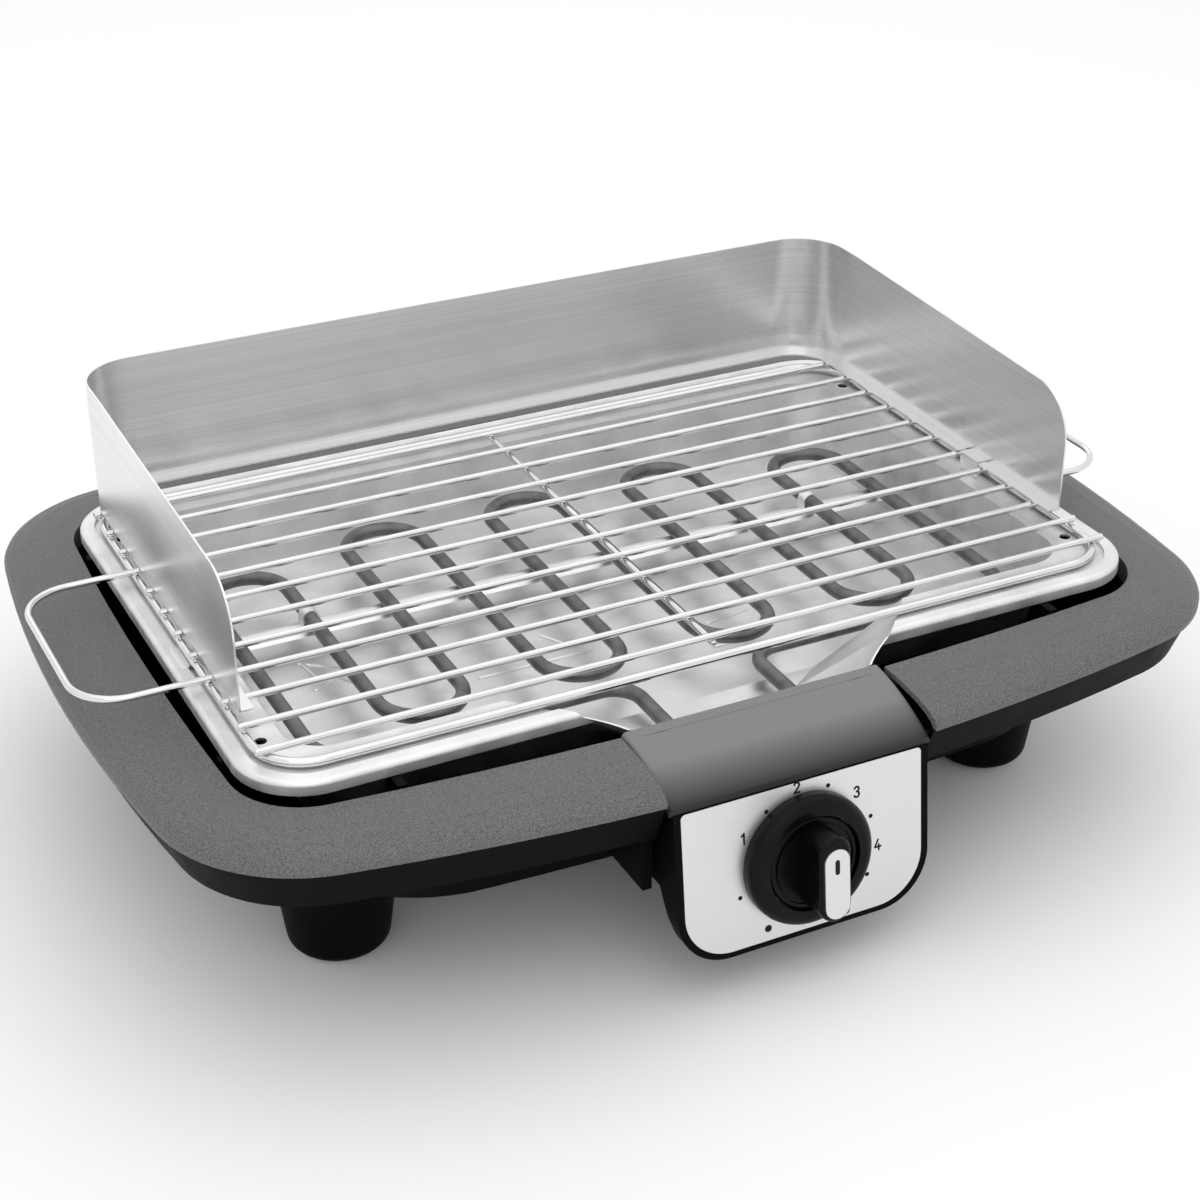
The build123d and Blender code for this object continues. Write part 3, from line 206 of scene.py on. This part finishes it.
class Finish:
    """A material in the making: its node tree, its shader and patterns on the object's coordinates."""

    def __init__(self, name, colour, roughness, metallic=0.0, specular=0.5):
        self.material = bpy.data.materials.new(name)
        self.material.use_nodes = True
        self.tree = self.material.node_tree
        self.shader = self.tree.nodes["Principled BSDF"]
        self.shader.inputs["Base Color"].default_value = (*colour, 1.0)
        self.shader.inputs["Roughness"].default_value = roughness
        self.shader.inputs["Metallic"].default_value = metallic
        self.shader.inputs["Specular IOR Level"].default_value = specular
        self.place = self.tree.nodes.new("ShaderNodeTexCoord")
        self.normal = None

    def link(self, source, target):
        """Joins two sockets."""
        self.tree.links.new(source, target)

    def noise(self, scale, stretch=(1.0, 1.0, 1.0), detail=2.0):
        """Cloudy pattern with about scale spots a metre, squeezed along each axis by stretch."""
        mapping = self.tree.nodes.new("ShaderNodeMapping")
        mapping.inputs["Scale"].default_value = stretch
        self.link(self.place.outputs["Object"], mapping.inputs["Vector"])
        noise = self.tree.nodes.new("ShaderNodeTexNoise")
        noise.inputs["Scale"].default_value = scale
        noise.inputs["Detail"].default_value = detail
        self.link(mapping.outputs["Vector"], noise.inputs["Vector"])
        return noise.outputs["Fac"]

    def speckle(self, scale):
        """Cell pattern with about scale cells a metre."""
        cells = self.tree.nodes.new("ShaderNodeTexVoronoi")
        cells.inputs["Scale"].default_value = scale
        self.link(self.place.outputs["Object"], cells.inputs["Vector"])
        return cells.outputs["Distance"]

    def slope(self, axis, start, end):
        """Even rise along an axis from 0 at start to 1 at end, in metres."""
        parts = self.tree.nodes.new("ShaderNodeSeparateXYZ")
        self.link(self.place.outputs["Object"], parts.inputs["Vector"])
        return self.spread(parts.outputs[axis], 0.0, 1.0, start, end)

    def blended(self, pattern, other, share):
        """A pattern with a share of another added to it."""
        total = self.tree.nodes.new("ShaderNodeMath")
        total.operation = "MULTIPLY_ADD"
        self.link(other, total.inputs[0])
        total.inputs[1].default_value = share
        self.link(pattern, total.inputs[2])
        return total.outputs["Value"]

    def spread(self, pattern, low, high, start=0.3, end=0.7):
        """Carries a pattern's values between start and end over to low and high."""
        carry = self.tree.nodes.new("ShaderNodeMapRange")
        for socket, value in zip(("From Min", "From Max", "To Min", "To Max"), (start, end, low, high)):
            carry.inputs[socket].default_value = value
        self.link(pattern, carry.inputs["Value"])
        return carry.outputs["Result"]

    def tint(self, pattern, dark, light, start=0.35, end=0.65):
        """Colours the surface from dark to light by a pattern."""
        ramp = self.tree.nodes.new("ShaderNodeValToRGB")
        low, high = ramp.color_ramp.elements
        low.position = start
        low.color = (*dark, 1.0)
        high.position = end
        high.color = (*light, 1.0)
        self.link(pattern, ramp.inputs["Fac"])
        self.link(ramp.outputs["Color"], self.shader.inputs["Base Color"])

    def gloss(self, pattern, low, high, start=0.3, end=0.7):
        """Varies the roughness by a pattern."""
        self.link(self.spread(pattern, low, high, start, end), self.shader.inputs["Roughness"])

    def relief(self, pattern, depth, strength=1.0):
        """Roughens the surface by a pattern, depth in metres, over any earlier relief."""
        bump = self.tree.nodes.new("ShaderNodeBump")
        bump.inputs["Distance"].default_value = depth
        bump.inputs["Strength"].default_value = strength
        self.link(pattern, bump.inputs["Height"])
        if self.normal is not None:
            self.link(self.normal, bump.inputs["Normal"])
        self.normal = bump.outputs["Normal"]
        self.link(self.normal, self.shader.inputs["Normal"])


def shade(colour, factor):
    """A colour made darker or lighter."""
    return tuple(min(channel * factor, 1.0) for channel in colour)


def black_plastic(colours):
    """Satin black moulding of the bowl, the feet and the control housing."""
    finish = Finish("Black satin plastic", colours.black_plastic, roughness=0.5, specular=0.05)
    cloud = finish.noise(90.0)
    finish.tint(cloud, shade(colours.black_plastic, 0.8), shade(colours.black_plastic, 1.25))
    finish.gloss(cloud, 0.45, 0.55)
    finish.relief(finish.noise(1800.0), 0.03 * MM)
    return finish


def bezel_plastic(colours):
    """Grey moulding with a fine sparkling grain."""
    finish = Finish("Grained grey plastic", colours.bezel_grey, roughness=0.5, specular=0.35)
    grain = finish.noise(2000.0, detail=1.0)
    finish.tint(grain, shade(colours.bezel_grey, 0.62), shade(colours.bezel_grey, 1.55))
    finish.gloss(grain, 0.38, 0.58)
    finish.relief(grain, 0.12 * MM)
    return finish


def cover_plastic(colours, front_y, full_y):
    """Smooth grey moulding of the control box cover, with painted shade that darkens it from full_y to
    its front edge in place of the shading of a front that curves down.
    """
    finish = Finish("Smooth grey plastic", colours.cover_grey, roughness=0.46, specular=0.3)
    fine = finish.noise(1500.0)
    # Painted shade: the cover fades from its full grey at full_y to the dark front colour at its front
    # edge.
    painted_shade = finish.blended(finish.slope("Y", front_y, full_y), fine, 0.08)
    finish.tint(painted_shade, colours.cover_painted_shade, colours.cover_grey, 0.04, 1.06)
    finish.gloss(finish.noise(60.0), 0.43, 0.50)
    finish.relief(fine, 0.02 * MM)
    return finish


def dial_plastic(colours):
    """Smooth black moulding of the collar and the knob."""
    finish = Finish("Dial black plastic", colours.dial_black, roughness=0.3, specular=0.13)
    cloud = finish.noise(140.0)
    finish.tint(cloud, shade(colours.dial_black, 0.85), shade(colours.dial_black, 1.2))
    finish.gloss(cloud, 0.27, 0.33)
    finish.relief(finish.noise(2400.0), 0.015 * MM)
    return finish


def rubber(colours):
    """Matt rubber."""
    finish = Finish("Black rubber", colours.rubber_black, roughness=0.8, specular=0.2)
    cloud = finish.noise(300.0)
    finish.tint(cloud, shade(colours.rubber_black, 0.8), shade(colours.rubber_black, 1.3))
    finish.relief(cloud, 0.05 * MM)
    return finish


def bright_steel(colours):
    """Rolled sheet with slight waves and rubbed spots."""
    finish = Finish("Bright rolled steel", colours.tray_steel, roughness=0.47, metallic=1.0)
    spots = finish.noise(45.0, detail=4.0)
    finish.tint(spots, shade(colours.tray_steel, 0.90), shade(colours.tray_steel, 1.06))
    finish.gloss(finish.noise(70.0, stretch=(1.0, 3.0, 1.0), detail=4.0), 0.40, 0.54)
    finish.relief(finish.noise(22.0), 0.4 * MM, 0.06)
    return finish


def strip_steel(colours):
    """Smooth bright sheet of the support strip and the clips."""
    finish = Finish("Smooth bright steel", colours.strip_steel, roughness=0.42, metallic=1.0)
    streaks = finish.noise(120.0, stretch=(0.1, 3.0, 3.0), detail=2.0)
    finish.tint(streaks, shade(colours.strip_steel, 0.96), shade(colours.strip_steel, 1.03))
    finish.gloss(streaks, 0.38, 0.46)
    return finish


def shield_steel(colours):
    """Brushed sheet with fine level lines and faint waves."""
    finish = Finish("Brushed windshield steel", colours.shield_steel, roughness=0.29, metallic=1.0)
    lines = finish.noise(60.0, stretch=(0.05, 0.05, 45.0), detail=3.0)
    waves = finish.noise(14.0, detail=0.0)
    finish.tint(lines, shade(colours.shield_steel, 0.92), shade(colours.shield_steel, 1.06))
    finish.gloss(waves, 0.25, 0.33)
    finish.relief(waves, 0.4 * MM, 0.2)
    finish.relief(lines, 0.01 * MM)
    return finish


def wire_chrome(colours):
    """Bright plating of the wires."""
    finish = Finish("Chrome wire", colours.wire_chrome, roughness=0.13, metallic=1.0)
    spots = finish.noise(60.0)
    finish.tint(spots, shade(colours.wire_chrome, 0.95), shade(colours.wire_chrome, 1.03))
    finish.gloss(spots, 0.10, 0.16)
    return finish


def plate_silver(colours):
    """Finely brushed silver plate."""
    finish = Finish("Brushed silver plate", colours.plate_silver, roughness=0.4, metallic=1.0)
    lines = finish.noise(40.0, stretch=(0.5, 60.0, 60.0), detail=2.0)
    finish.tint(lines, shade(colours.plate_silver, 0.985), shade(colours.plate_silver, 1.015))
    finish.gloss(lines, 0.40, 0.46)
    finish.relief(lines, 0.003 * MM)
    return finish


def sheath(colours):
    """Oxidised sheath of the heating tube."""
    finish = Finish("Oxidised heating sheath", colours.sheath_grey, roughness=0.4, metallic=0.75)
    spots = finish.noise(110.0, detail=5.0)
    finish.tint(spots, shade(colours.sheath_grey, 0.75), shade(colours.sheath_grey, 1.3))
    finish.gloss(spots, 0.32, 0.46)
    finish.relief(finish.noise(700.0), 0.04 * MM)
    return finish


def zinc(colours):
    """Zinc plating of screws, rivets and brackets."""
    finish = Finish("Zinc plating", colours.zinc, roughness=0.36, metallic=1.0)
    spots = finish.noise(500.0, detail=3.0)
    finish.tint(spots, shade(colours.zinc, 0.85), shade(colours.zinc, 1.1))
    finish.gloss(spots, 0.28, 0.44)
    return finish


def brass(colours):
    """Plain brass."""
    finish = Finish("Brass", colours.brass, roughness=0.3, metallic=1.0)
    spots = finish.noise(600.0, detail=3.0)
    finish.tint(spots, shade(colours.brass, 0.85), shade(colours.brass, 1.1))
    return finish


def ceramic(colours):
    """Pale moulded insulator."""
    finish = Finish("Pale insulator", colours.ceramic, roughness=0.6, specular=0.3)
    spots = finish.noise(400.0, detail=3.0)
    finish.tint(spots, shade(colours.ceramic, 0.93), shade(colours.ceramic, 1.04))
    finish.relief(spots, 0.03 * MM)
    return finish


def sleeve(colours):
    """Woven sleeving of the leads."""
    finish = Finish("Lead sleeving", colours.sleeve, roughness=0.8, specular=0.2)
    weave = finish.speckle(1400.0)
    finish.tint(weave, shade(colours.sleeve, 0.7), shade(colours.sleeve, 1.05), 0.1, 0.6)
    finish.relief(weave, 0.12 * MM)
    return finish


def print_ink(colours):
    """Matt black print."""
    finish = Finish("Black print", colours.print_black, roughness=0.65, specular=0.2)
    finish.relief(finish.noise(3000.0), 0.01 * MM)
    return finish


def dress(finish, *names):
    """Gives CAD nodes one finish."""
    for name in names:
        mesh = nodes[name].data
        mesh.materials.clear()
        mesh.materials.append(finish.material)


def add_piece(name, shape, finish, body):
    """Turns a bmesh into a piece that rides on a body and wears the given finish."""
    mesh = bpy.data.meshes.new(name)
    bmesh.ops.recalc_face_normals(shape, faces=shape.faces)
    shape.to_mesh(mesh)
    shape.free()
    mesh.materials.append(finish.material)
    piece = bpy.data.objects.new(name, mesh)
    bpy.context.scene.collection.objects.link(piece)
    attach(piece, body)
    return piece


def on_dial(x, y, z):
    """Matrix that carries a shape to x, y and z on the dial: right, up and out of the plate."""
    turn = Matrix((dial_right, dial_up, dial_out)).transposed().to_4x4()
    place = dial_centre + dial_right * x + dial_up * y + dial_out * z
    return Matrix.Translation(place) @ turn


def landing(name, x, y):
    """Height at which a plumb line meets a CAD node from above."""
    start = Vector((x, y, cad_box[1].z + PLUMB_START))
    met, place, _, _ = nodes[name].ray_cast(start, Vector((0.0, 0.0, -1.0)))
    if not met:
        raise RuntimeError(f"nothing of {name} lies under {x}, {y}")
    return place.z


def add_bar(shape, start, end, width, height):
    """Adds a flattened bead with round ends between two points of one level."""
    along = end - start
    half = along.length / 2
    middle = width / 100
    made = bmesh.ops.create_uvsphere(shape, radius=width / 2, **BEAD_MESH)
    for vertex in made["verts"]:
        if abs(vertex.co.x) > middle:
            vertex.co.x += math.copysign(half, vertex.co.x)
        vertex.co.z *= 2 * height / width
    turn = Matrix.Rotation(math.atan2(along.y, along.x), 4, "Z")
    place = Matrix.Translation((start + end) / 2)
    bmesh.ops.transform(shape, matrix=place @ turn, verts=made["verts"])
    return made["verts"]


def arc(start, end, steps=10):
    """Angles in radians from start to end, both in degrees."""
    return [math.radians(start + (end - start) * step / steps) for step in range(steps + 1)]


class GRILL_OT_base(bpy.types.Operator):
    """Finish the bowl, the feet, their pads and their screws"""

    bl_idname = "grill.base"
    bl_label = "Base"

    def execute(self, context):
        colours = context.scene.grill_finishes
        feet = [f"foot_{end}_{side}" for end in ("front", "back") for side in ("left", "right")]
        dress(black_plastic(colours), "base_shell", "base_flange", "base_skirt", "base_cheeks", *feet)
        dress(rubber(colours), "foot_pads")
        dress(zinc(colours), "foot_screws", "bezel_screws")
        return {"FINISHED"}


class GRILL_OT_bezel(bpy.types.Operator):
    """Finish the bezel ring"""

    bl_idname = "grill.bezel"
    bl_label = "Bezel ring"

    def execute(self, context):
        dress(bezel_plastic(context.scene.grill_finishes), "bezel_ring")
        return {"FINISHED"}


class GRILL_OT_tray(bpy.types.Operator):
    """Finish the tray and press its beads"""

    bl_idname = "grill.tray"
    bl_label = "Tray"

    # Ends of the beads in the tray floor, in mm from the middle of the grill
    floor_beads = (
        ((-138, 11), (-123, 1)),
        ((-137, 10), (-135, -2)),
        ((-139, -13), (-129, -7)),
        ((-129, -2), (-122, -14)),
        ((-72, -35), (-49, -35)),
        ((-40, -35), (-19, -35)),
        ((-33, -14), (-24, -29)),
        ((39, -37), (59, -34)),
        ((32, -57), (49, -57)),
    )

    def execute(self, context):
        marks = context.scene.grill_tray
        steel = bright_steel(context.scene.grill_finishes)
        dress(steel, "reflector_tray")
        shape = bmesh.new()
        for start, end in self.floor_beads:
            level = landing("reflector_tray", start[0] * MM, start[1] * MM)
            ends = [Vector((x * MM, y * MM, level)) for x, y in (start, end)]
            add_bar(shape, *ends, marks.bead_width, marks.bead_height)
        add_piece("tray_floor_beads", shape, steel, "tray")
        shape = bmesh.new()
        level = landing("reflector_tray", *marks.loop_place)
        middle = Vector((*marks.loop_place, level))
        reach = Vector((0.0, (marks.loop_length - marks.loop_width) / 2, 0.0))
        add_bar(shape, middle - reach, middle + reach, marks.loop_width, marks.loop_height)
        add_piece("tray_ledge_bead", shape, steel, "tray")
        return {"FINISHED"}


class GRILL_OT_element(bpy.types.Operator):
    """Finish the heating tube and what holds it"""

    bl_idname = "grill.element"
    bl_label = "Heating element"

    def execute(self, context):
        colours = context.scene.grill_finishes
        dress(sheath(colours), "heating_element")
        dress(strip_steel(colours), "element_support_strip", "element_clips")
        dress(zinc(colours), "element_pins", "element_plate", "element_rivets")
        return {"FINISHED"}


class GRILL_OT_control_box(bpy.types.Operator):
    """Finish the control housing, its cover, its plate and its gland"""

    bl_idname = "grill.control_box"
    bl_label = "Control box"

    def execute(self, context):
        colours = context.scene.grill_finishes
        dress(black_plastic(colours), "control_housing")
        cover = nodes["control_top_cover"].data.vertices
        front_y = min(vertex.co.y for vertex in cover)
        rear_y = max(vertex.co.y for vertex in cover)
        # Painted shade darkens the cover from its middle to its front edge.
        grey = cover_plastic(colours, front_y, (front_y + rear_y) / 2)
        dress(grey, "control_top_cover")
        dress(plate_silver(colours), "front_plate")
        dress(rubber(colours), "cord_gland")
        marks = context.scene.grill_marks
        y = rear_y - marks.line_inset
        end_x = max(vertex.co.x for vertex in cover) - marks.line_end
        level = landing("control_top_cover", 0.0, y)
        shape = bmesh.new()
        ends = [Vector((x, y, level)) for x in (-end_x, end_x)]
        add_bar(shape, *ends, marks.line_width, marks.line_height)
        add_piece("cover_back_line", shape, grey, "heater")
        return {"FINISHED"}


class GRILL_OT_wiring(bpy.types.Operator):
    """Finish the thermostat, the terminal block, the fuse and the leads"""

    bl_idname = "grill.wiring"
    bl_label = "Wiring"

    def execute(self, context):
        colours = context.scene.grill_finishes
        dress(ceramic(colours), "thermostat_body", "terminal_block")
        dress(zinc(colours), "thermostat_bracket", "thermostat_nut", "thermal_fuse", "fuse_clip")
        dress(brass(colours), "thermostat_tabs")
        dress(sleeve(colours), "lead_wires")
        return {"FINISHED"}


class GRILL_OT_dial(bpy.types.Operator):
    """Finish the dial collar and print the numbers and dots round it"""

    bl_idname = "grill.dial"
    bl_label = "Dial"

    # Places round the dial, in degrees from its right, against the clock
    number_angles = {"1": 148.5, "2": 96.7, "3": 45, "4": -5.4, "5": -57.2}
    dot_angles = (195, 124, 71, 20, -28.5)
    off_angle = 234.5
    # Strokes of the digits: x and y of their bends in shares of a digit's height
    strokes = {
        "1": ((-0.19, 0.29), (0.04, 0.5), (0.04, -0.5)),
        "2": (
            *((0.24 * math.cos(turn), 0.25 + 0.25 * math.sin(turn)) for turn in arc(165, -35)),
            (-0.25, -0.46),
            (0.27, -0.46),
        ),
        "3": (
            *((0.22 * math.cos(turn), 0.27 + 0.23 * math.sin(turn)) for turn in arc(160, -90)),
            *((0.25 * math.cos(turn), -0.23 + 0.27 * math.sin(turn)) for turn in arc(90, -155)),
        ),
        "4": ((0.12, -0.5), (0.12, 0.0), (0.12, -0.2), (0.3, -0.2), (-0.28, -0.2), (0.05, 0.5)),
        "5": (
            (0.22, 0.46),
            (-0.18, 0.46),
            (-0.2, 0.04),
            *((0.25 * math.cos(turn), -0.2 + 0.29 * math.sin(turn)) for turn in arc(125, -150)),
        ),
    }

    def number(self, shape, label, angle, sizes):
        """Adds one upright digit on the number circle."""
        x = sizes.number_radius * math.cos(math.radians(angle)) + sizes.print_shift
        y = sizes.number_radius * math.sin(math.radians(angle)) - sizes.print_drop
        height = sizes.number_height
        bends = [Vector((height * a, height * b, 0.0)) for a, b in self.strokes[label]]
        place = on_dial(x, y, 0.0)
        for start, end in zip(bends, bends[1:]):
            made = add_bar(shape, start, end, sizes.stroke_width, sizes.print_thickness)
            bmesh.ops.transform(shape, matrix=place, verts=made)

    def dot(self, shape, angle, radius, sizes):
        """Adds one round dot on the dot circle."""
        x = sizes.dot_circle * math.cos(math.radians(angle)) + sizes.print_shift
        y = sizes.dot_circle * math.sin(math.radians(angle)) - sizes.print_drop
        bmesh.ops.create_cone(
            shape,
            cap_ends=True,
            segments=DOT_SEGMENTS,
            radius1=radius,
            radius2=radius,
            depth=2 * sizes.print_thickness,
            matrix=on_dial(x, y, 0.0),
        )

    def execute(self, context):
        sizes = context.scene.grill_dial
        colours = context.scene.grill_finishes
        dress(dial_plastic(colours), "dial_collar")
        ink = print_ink(colours)
        shape = bmesh.new()
        for label, angle in self.number_angles.items():
            self.number(shape, label, angle, sizes)
        add_piece("dial_numbers", shape, ink, "heater")
        shape = bmesh.new()
        for angle in self.dot_angles:
            self.dot(shape, angle, sizes.dot_radius, sizes)
        self.dot(shape, self.off_angle, sizes.off_dot_radius, sizes)
        add_piece("dial_dots", shape, ink, "heater")
        return {"FINISHED"}


class GRILL_OT_knob(bpy.types.Operator):
    """Finish the knob, its cap and its shaft, and set the pointer mark on the cap"""

    bl_idname = "grill.knob"
    bl_label = "Knob"

    def execute(self, context):
        sizes = context.scene.grill_dial
        colours = context.scene.grill_finishes
        dress(dial_plastic(colours), "knob_body")
        dress(plate_silver(colours), "knob_cap")
        dress(zinc(colours), "knob_spring_clip", "thermostat_shaft")
        offsets = [vertex.co - dial_centre for vertex in nodes["knob_cap"].data.vertices]
        cap_top = max(dial_out.dot(offset) for offset in offsets)
        cap_end = max(dial_up.dot(offset) for offset in offsets)
        shape = bmesh.new()
        half = (sizes.pointer_length - sizes.pointer_width) / 2
        middle = cap_end - sizes.pointer_inset - sizes.pointer_length / 2
        start = Vector((-half, 0.0, 0.0))
        add_bar(shape, start, -start, sizes.pointer_width, 2 * sizes.print_thickness)
        bmesh.ops.rotate(shape, matrix=Matrix.Rotation(math.pi / 2, 3, "Z"), verts=shape.verts)
        bmesh.ops.transform(shape, matrix=on_dial(0.0, middle, cap_top), verts=shape.verts)
        add_piece("knob_pointer", shape, print_ink(colours), "knob")
        return {"FINISHED"}


class GRILL_OT_grid(bpy.types.Operator):
    """Finish the wire grid, set its welds and round the end of its centre wire"""

    bl_idname = "grill.grid"
    bl_label = "Wire grid"

    # Free space that parts one rod from the next, and the stretch of a weld along X, Y and Z
    rod_gap = 5 * MM
    weld_stretch = (1.0, 1.6, 0.5, 1.0)

    def rod_places(self):
        """Distances along Y at which the rods lie."""
        places = sorted(vertex.co.y for vertex in nodes["grid_rods"].data.vertices)
        rods = [[places[0]]]
        for y in places[1:]:
            if y - rods[-1][-1] > self.rod_gap:
                rods.append([])
            rods[-1].append(y)
        return [(rod[0] + rod[-1]) / 2 for rod in rods]

    def welds(self, radius, wire_top, frame_x):
        """Flat beads where the rods lie on the frame wire."""
        shape = bmesh.new()
        flat = Matrix.Diagonal(self.weld_stretch)
        for y in self.rod_places():
            for x in (-frame_x, frame_x):
                place = Matrix.Translation((x, y, wire_top))
                bmesh.ops.create_uvsphere(shape, radius=radius, matrix=place @ flat, **BEAD_MESH)
        return shape

    def tip(self, reach):
        """Ball on the front end of the centre wire, as thick as the wire within reach of that end."""
        wire = [vertex.co for vertex in nodes["grid_centre_wire"].data.vertices]
        front_y = min(place.y for place in wire)
        heights = [place.z for place in wire if place.y < front_y + reach]
        low_z = min(heights)
        high_z = max(heights)
        shape = bmesh.new()
        place = Matrix.Translation((0.0, front_y, (low_z + high_z) / 2))
        bmesh.ops.create_uvsphere(shape, radius=(high_z - low_z) / 2, matrix=place, **TIP_MESH)
        return shape

    def execute(self, context):
        chrome = wire_chrome(context.scene.grill_finishes)
        dress(chrome, "grid_frame_wire", "grid_rods", "grid_handle_loop", "grid_centre_wire")
        radius = context.scene.grill_marks.weld_radius
        frame_wire = nodes["grid_frame_wire"].data.vertices
        wire_top = max(vertex.co.z for vertex in frame_wire)
        wire_half = (wire_top - min(vertex.co.z for vertex in frame_wire)) / 2
        frame_x = max(vertex.co.x for vertex in frame_wire) - wire_half
        welds = self.welds(radius, wire_top, frame_x)
        add_piece("grid_welds", welds, chrome, "grid")
        add_piece("grid_wire_tip", self.tip(wire_half), chrome, "grid")
        return {"FINISHED"}


class GRILL_OT_windshield(bpy.types.Operator):
    """Finish the windshield"""

    bl_idname = "grill.windshield"
    bl_label = "Windshield"

    def execute(self, context):
        dress(shield_steel(context.scene.grill_finishes), "windshield")
        return {"FINISHED"}


class GRILL_OT_stage(bpy.types.Operator):
    """Lay the floor, set the lights and place the camera"""

    bl_idname = "grill.stage"
    bl_label = "Stage"

    floor_half = 30.0
    floor_drop = 0.2 * MM
    # Soft boxes: name, the setting with their power, place, width and height, in metres
    lamps = (
        ("Key", "key_power", (-0.6, -1.2, 1.4), 1.6, 1.6),
        ("Top", "top_power", (0.2, 0.1, 1.6), 2.0, 2.0),
        ("Rear", "rear_power", (0.3, 1.5, 1.0), 1.6, 0.4),
    )
    lamp_aim = (0.0, 0.0, 0.1)

    def floor(self, stage):
        """Pale floor that takes the grill's shadow."""
        shape = bmesh.new()
        bmesh.ops.create_grid(shape, x_segments=1, y_segments=1, size=self.floor_half)
        bmesh.ops.translate(shape, vec=(0.0, 0.0, -self.floor_drop), verts=shape.verts)
        mesh = bpy.data.meshes.new("floor")
        shape.to_mesh(mesh)
        shape.free()
        finish = Finish("Pale floor", (stage.floor_white,) * 3, roughness=0.9, specular=0.0)
        mesh.materials.append(finish.material)
        floor = bpy.data.objects.new("floor", mesh)
        bpy.context.scene.collection.objects.link(floor)

    def sky(self, stage):
        """Even light from all round, white where the camera or a reflection looks at it."""
        world = bpy.data.worlds.new("Studio")
        bpy.context.scene.world = world
        world.use_nodes = True
        tree = world.node_tree
        background = tree.nodes["Background"]
        background.inputs["Color"].default_value = (1.0, 1.0, 1.0, 1.0)
        rays = tree.nodes.new("ShaderNodeLightPath")
        seen = rays.outputs["Is Camera Ray"]
        for output in ("Is Glossy Ray", "Is Transmission Ray"):
            larger = tree.nodes.new("ShaderNodeMath")
            larger.operation = "MAXIMUM"
            tree.links.new(seen, larger.inputs[0])
            tree.links.new(rays.outputs[output], larger.inputs[1])
            seen = larger.outputs["Value"]
        level = tree.nodes.new("ShaderNodeMapRange")
        level.inputs["To Min"].default_value = stage.sky_level
        level.inputs["To Max"].default_value = 1.0
        tree.links.new(seen, level.inputs["Value"])
        tree.links.new(level.outputs["Result"], background.inputs["Strength"])

    def lamp(self, name, power, place, width, height):
        """Soft box at a place, turned towards the grill."""
        light = bpy.data.lights.new(name, "AREA")
        light.energy = power
        light.shape = "RECTANGLE"
        light.size = width
        light.size_y = height
        lamp = bpy.data.objects.new(name, light)
        lamp.location = place
        towards = Vector(self.lamp_aim) - Vector(place)
        lamp.rotation_euler = towards.to_track_quat("-Z", "Y").to_euler()
        bpy.context.scene.collection.objects.link(lamp)

    def camera(self, stage):
        """Camera at the photograph's angle."""
        data = bpy.data.cameras.new("Camera")
        data.lens = stage.lens
        camera = bpy.data.objects.new("Camera", data)
        back = Vector((0.0, -1.0, 0.0))
        back.rotate(Matrix.Rotation(-stage.elevation, 3, "X"))
        back.rotate(Matrix.Rotation(stage.azimuth, 3, "Z"))
        camera.location = Vector(stage.aim) + back * stage.distance
        camera.rotation_euler = (math.pi / 2 - stage.elevation, 0.0, stage.azimuth)
        bpy.context.scene.collection.objects.link(camera)
        bpy.context.scene.camera = camera

    def execute(self, context):
        stage = context.scene.grill_stage
        context.scene.view_settings.view_transform = "Standard"
        self.floor(stage)
        self.sky(stage)
        for name, power, place, width, height in self.lamps:
            self.lamp(name, getattr(stage, power), place, width, height)
        self.camera(stage)
        return {"FINISHED"}


OPERATORS = (
    GRILL_OT_base,
    GRILL_OT_bezel,
    GRILL_OT_tray,
    GRILL_OT_element,
    GRILL_OT_control_box,
    GRILL_OT_wiring,
    GRILL_OT_dial,
    GRILL_OT_knob,
    GRILL_OT_grid,
    GRILL_OT_windshield,
    GRILL_OT_stage,
)

GROUPS = {
    "grill_finishes": GrillFinishes,
    "grill_dial": GrillDial,
    "grill_tray": GrillTrayMarks,
    "grill_marks": GrillGridMarks,
    "grill_stage": GrillStage,
}


class GRILL_PT_sidebar(bpy.types.Panel):
    """Lists the grill's operators and settings"""

    bl_idname = "GRILL_PT_sidebar"
    bl_label = "Table grill"
    bl_space_type = "VIEW_3D"
    bl_region_type = "UI"
    bl_category = "Grill"

    def draw(self, context):
        for operator in OPERATORS:
            self.layout.operator(operator.bl_idname)
        for name, group in GROUPS.items():
            settings = getattr(context.scene, name)
            box = self.layout.box()
            for key in group.__annotations__:
                box.prop(settings, key)


def register():
    """Registers the classes and hangs the settings on the scene."""
    for group in GROUPS.values():
        bpy.utils.register_class(group)
    for name, group in GROUPS.items():
        setattr(bpy.types.Scene, name, bpy.props.PointerProperty(type=group))
    for operator in OPERATORS:
        bpy.utils.register_class(operator)
    bpy.utils.register_class(GRILL_PT_sidebar)


def unregister():
    """Takes back what register did."""
    bpy.utils.unregister_class(GRILL_PT_sidebar)
    for operator in reversed(OPERATORS):
        bpy.utils.unregister_class(operator)
    for name in GROUPS:
        delattr(bpy.types.Scene, name)
    for group in reversed(GROUPS.values()):
        bpy.utils.unregister_class(group)


def main():
    """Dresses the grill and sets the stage."""
    register()
    for operator in OPERATORS:
        group, name = operator.bl_idname.split(".")
        getattr(getattr(bpy.ops, group), name)()


if __name__ == "__main__":
    main()
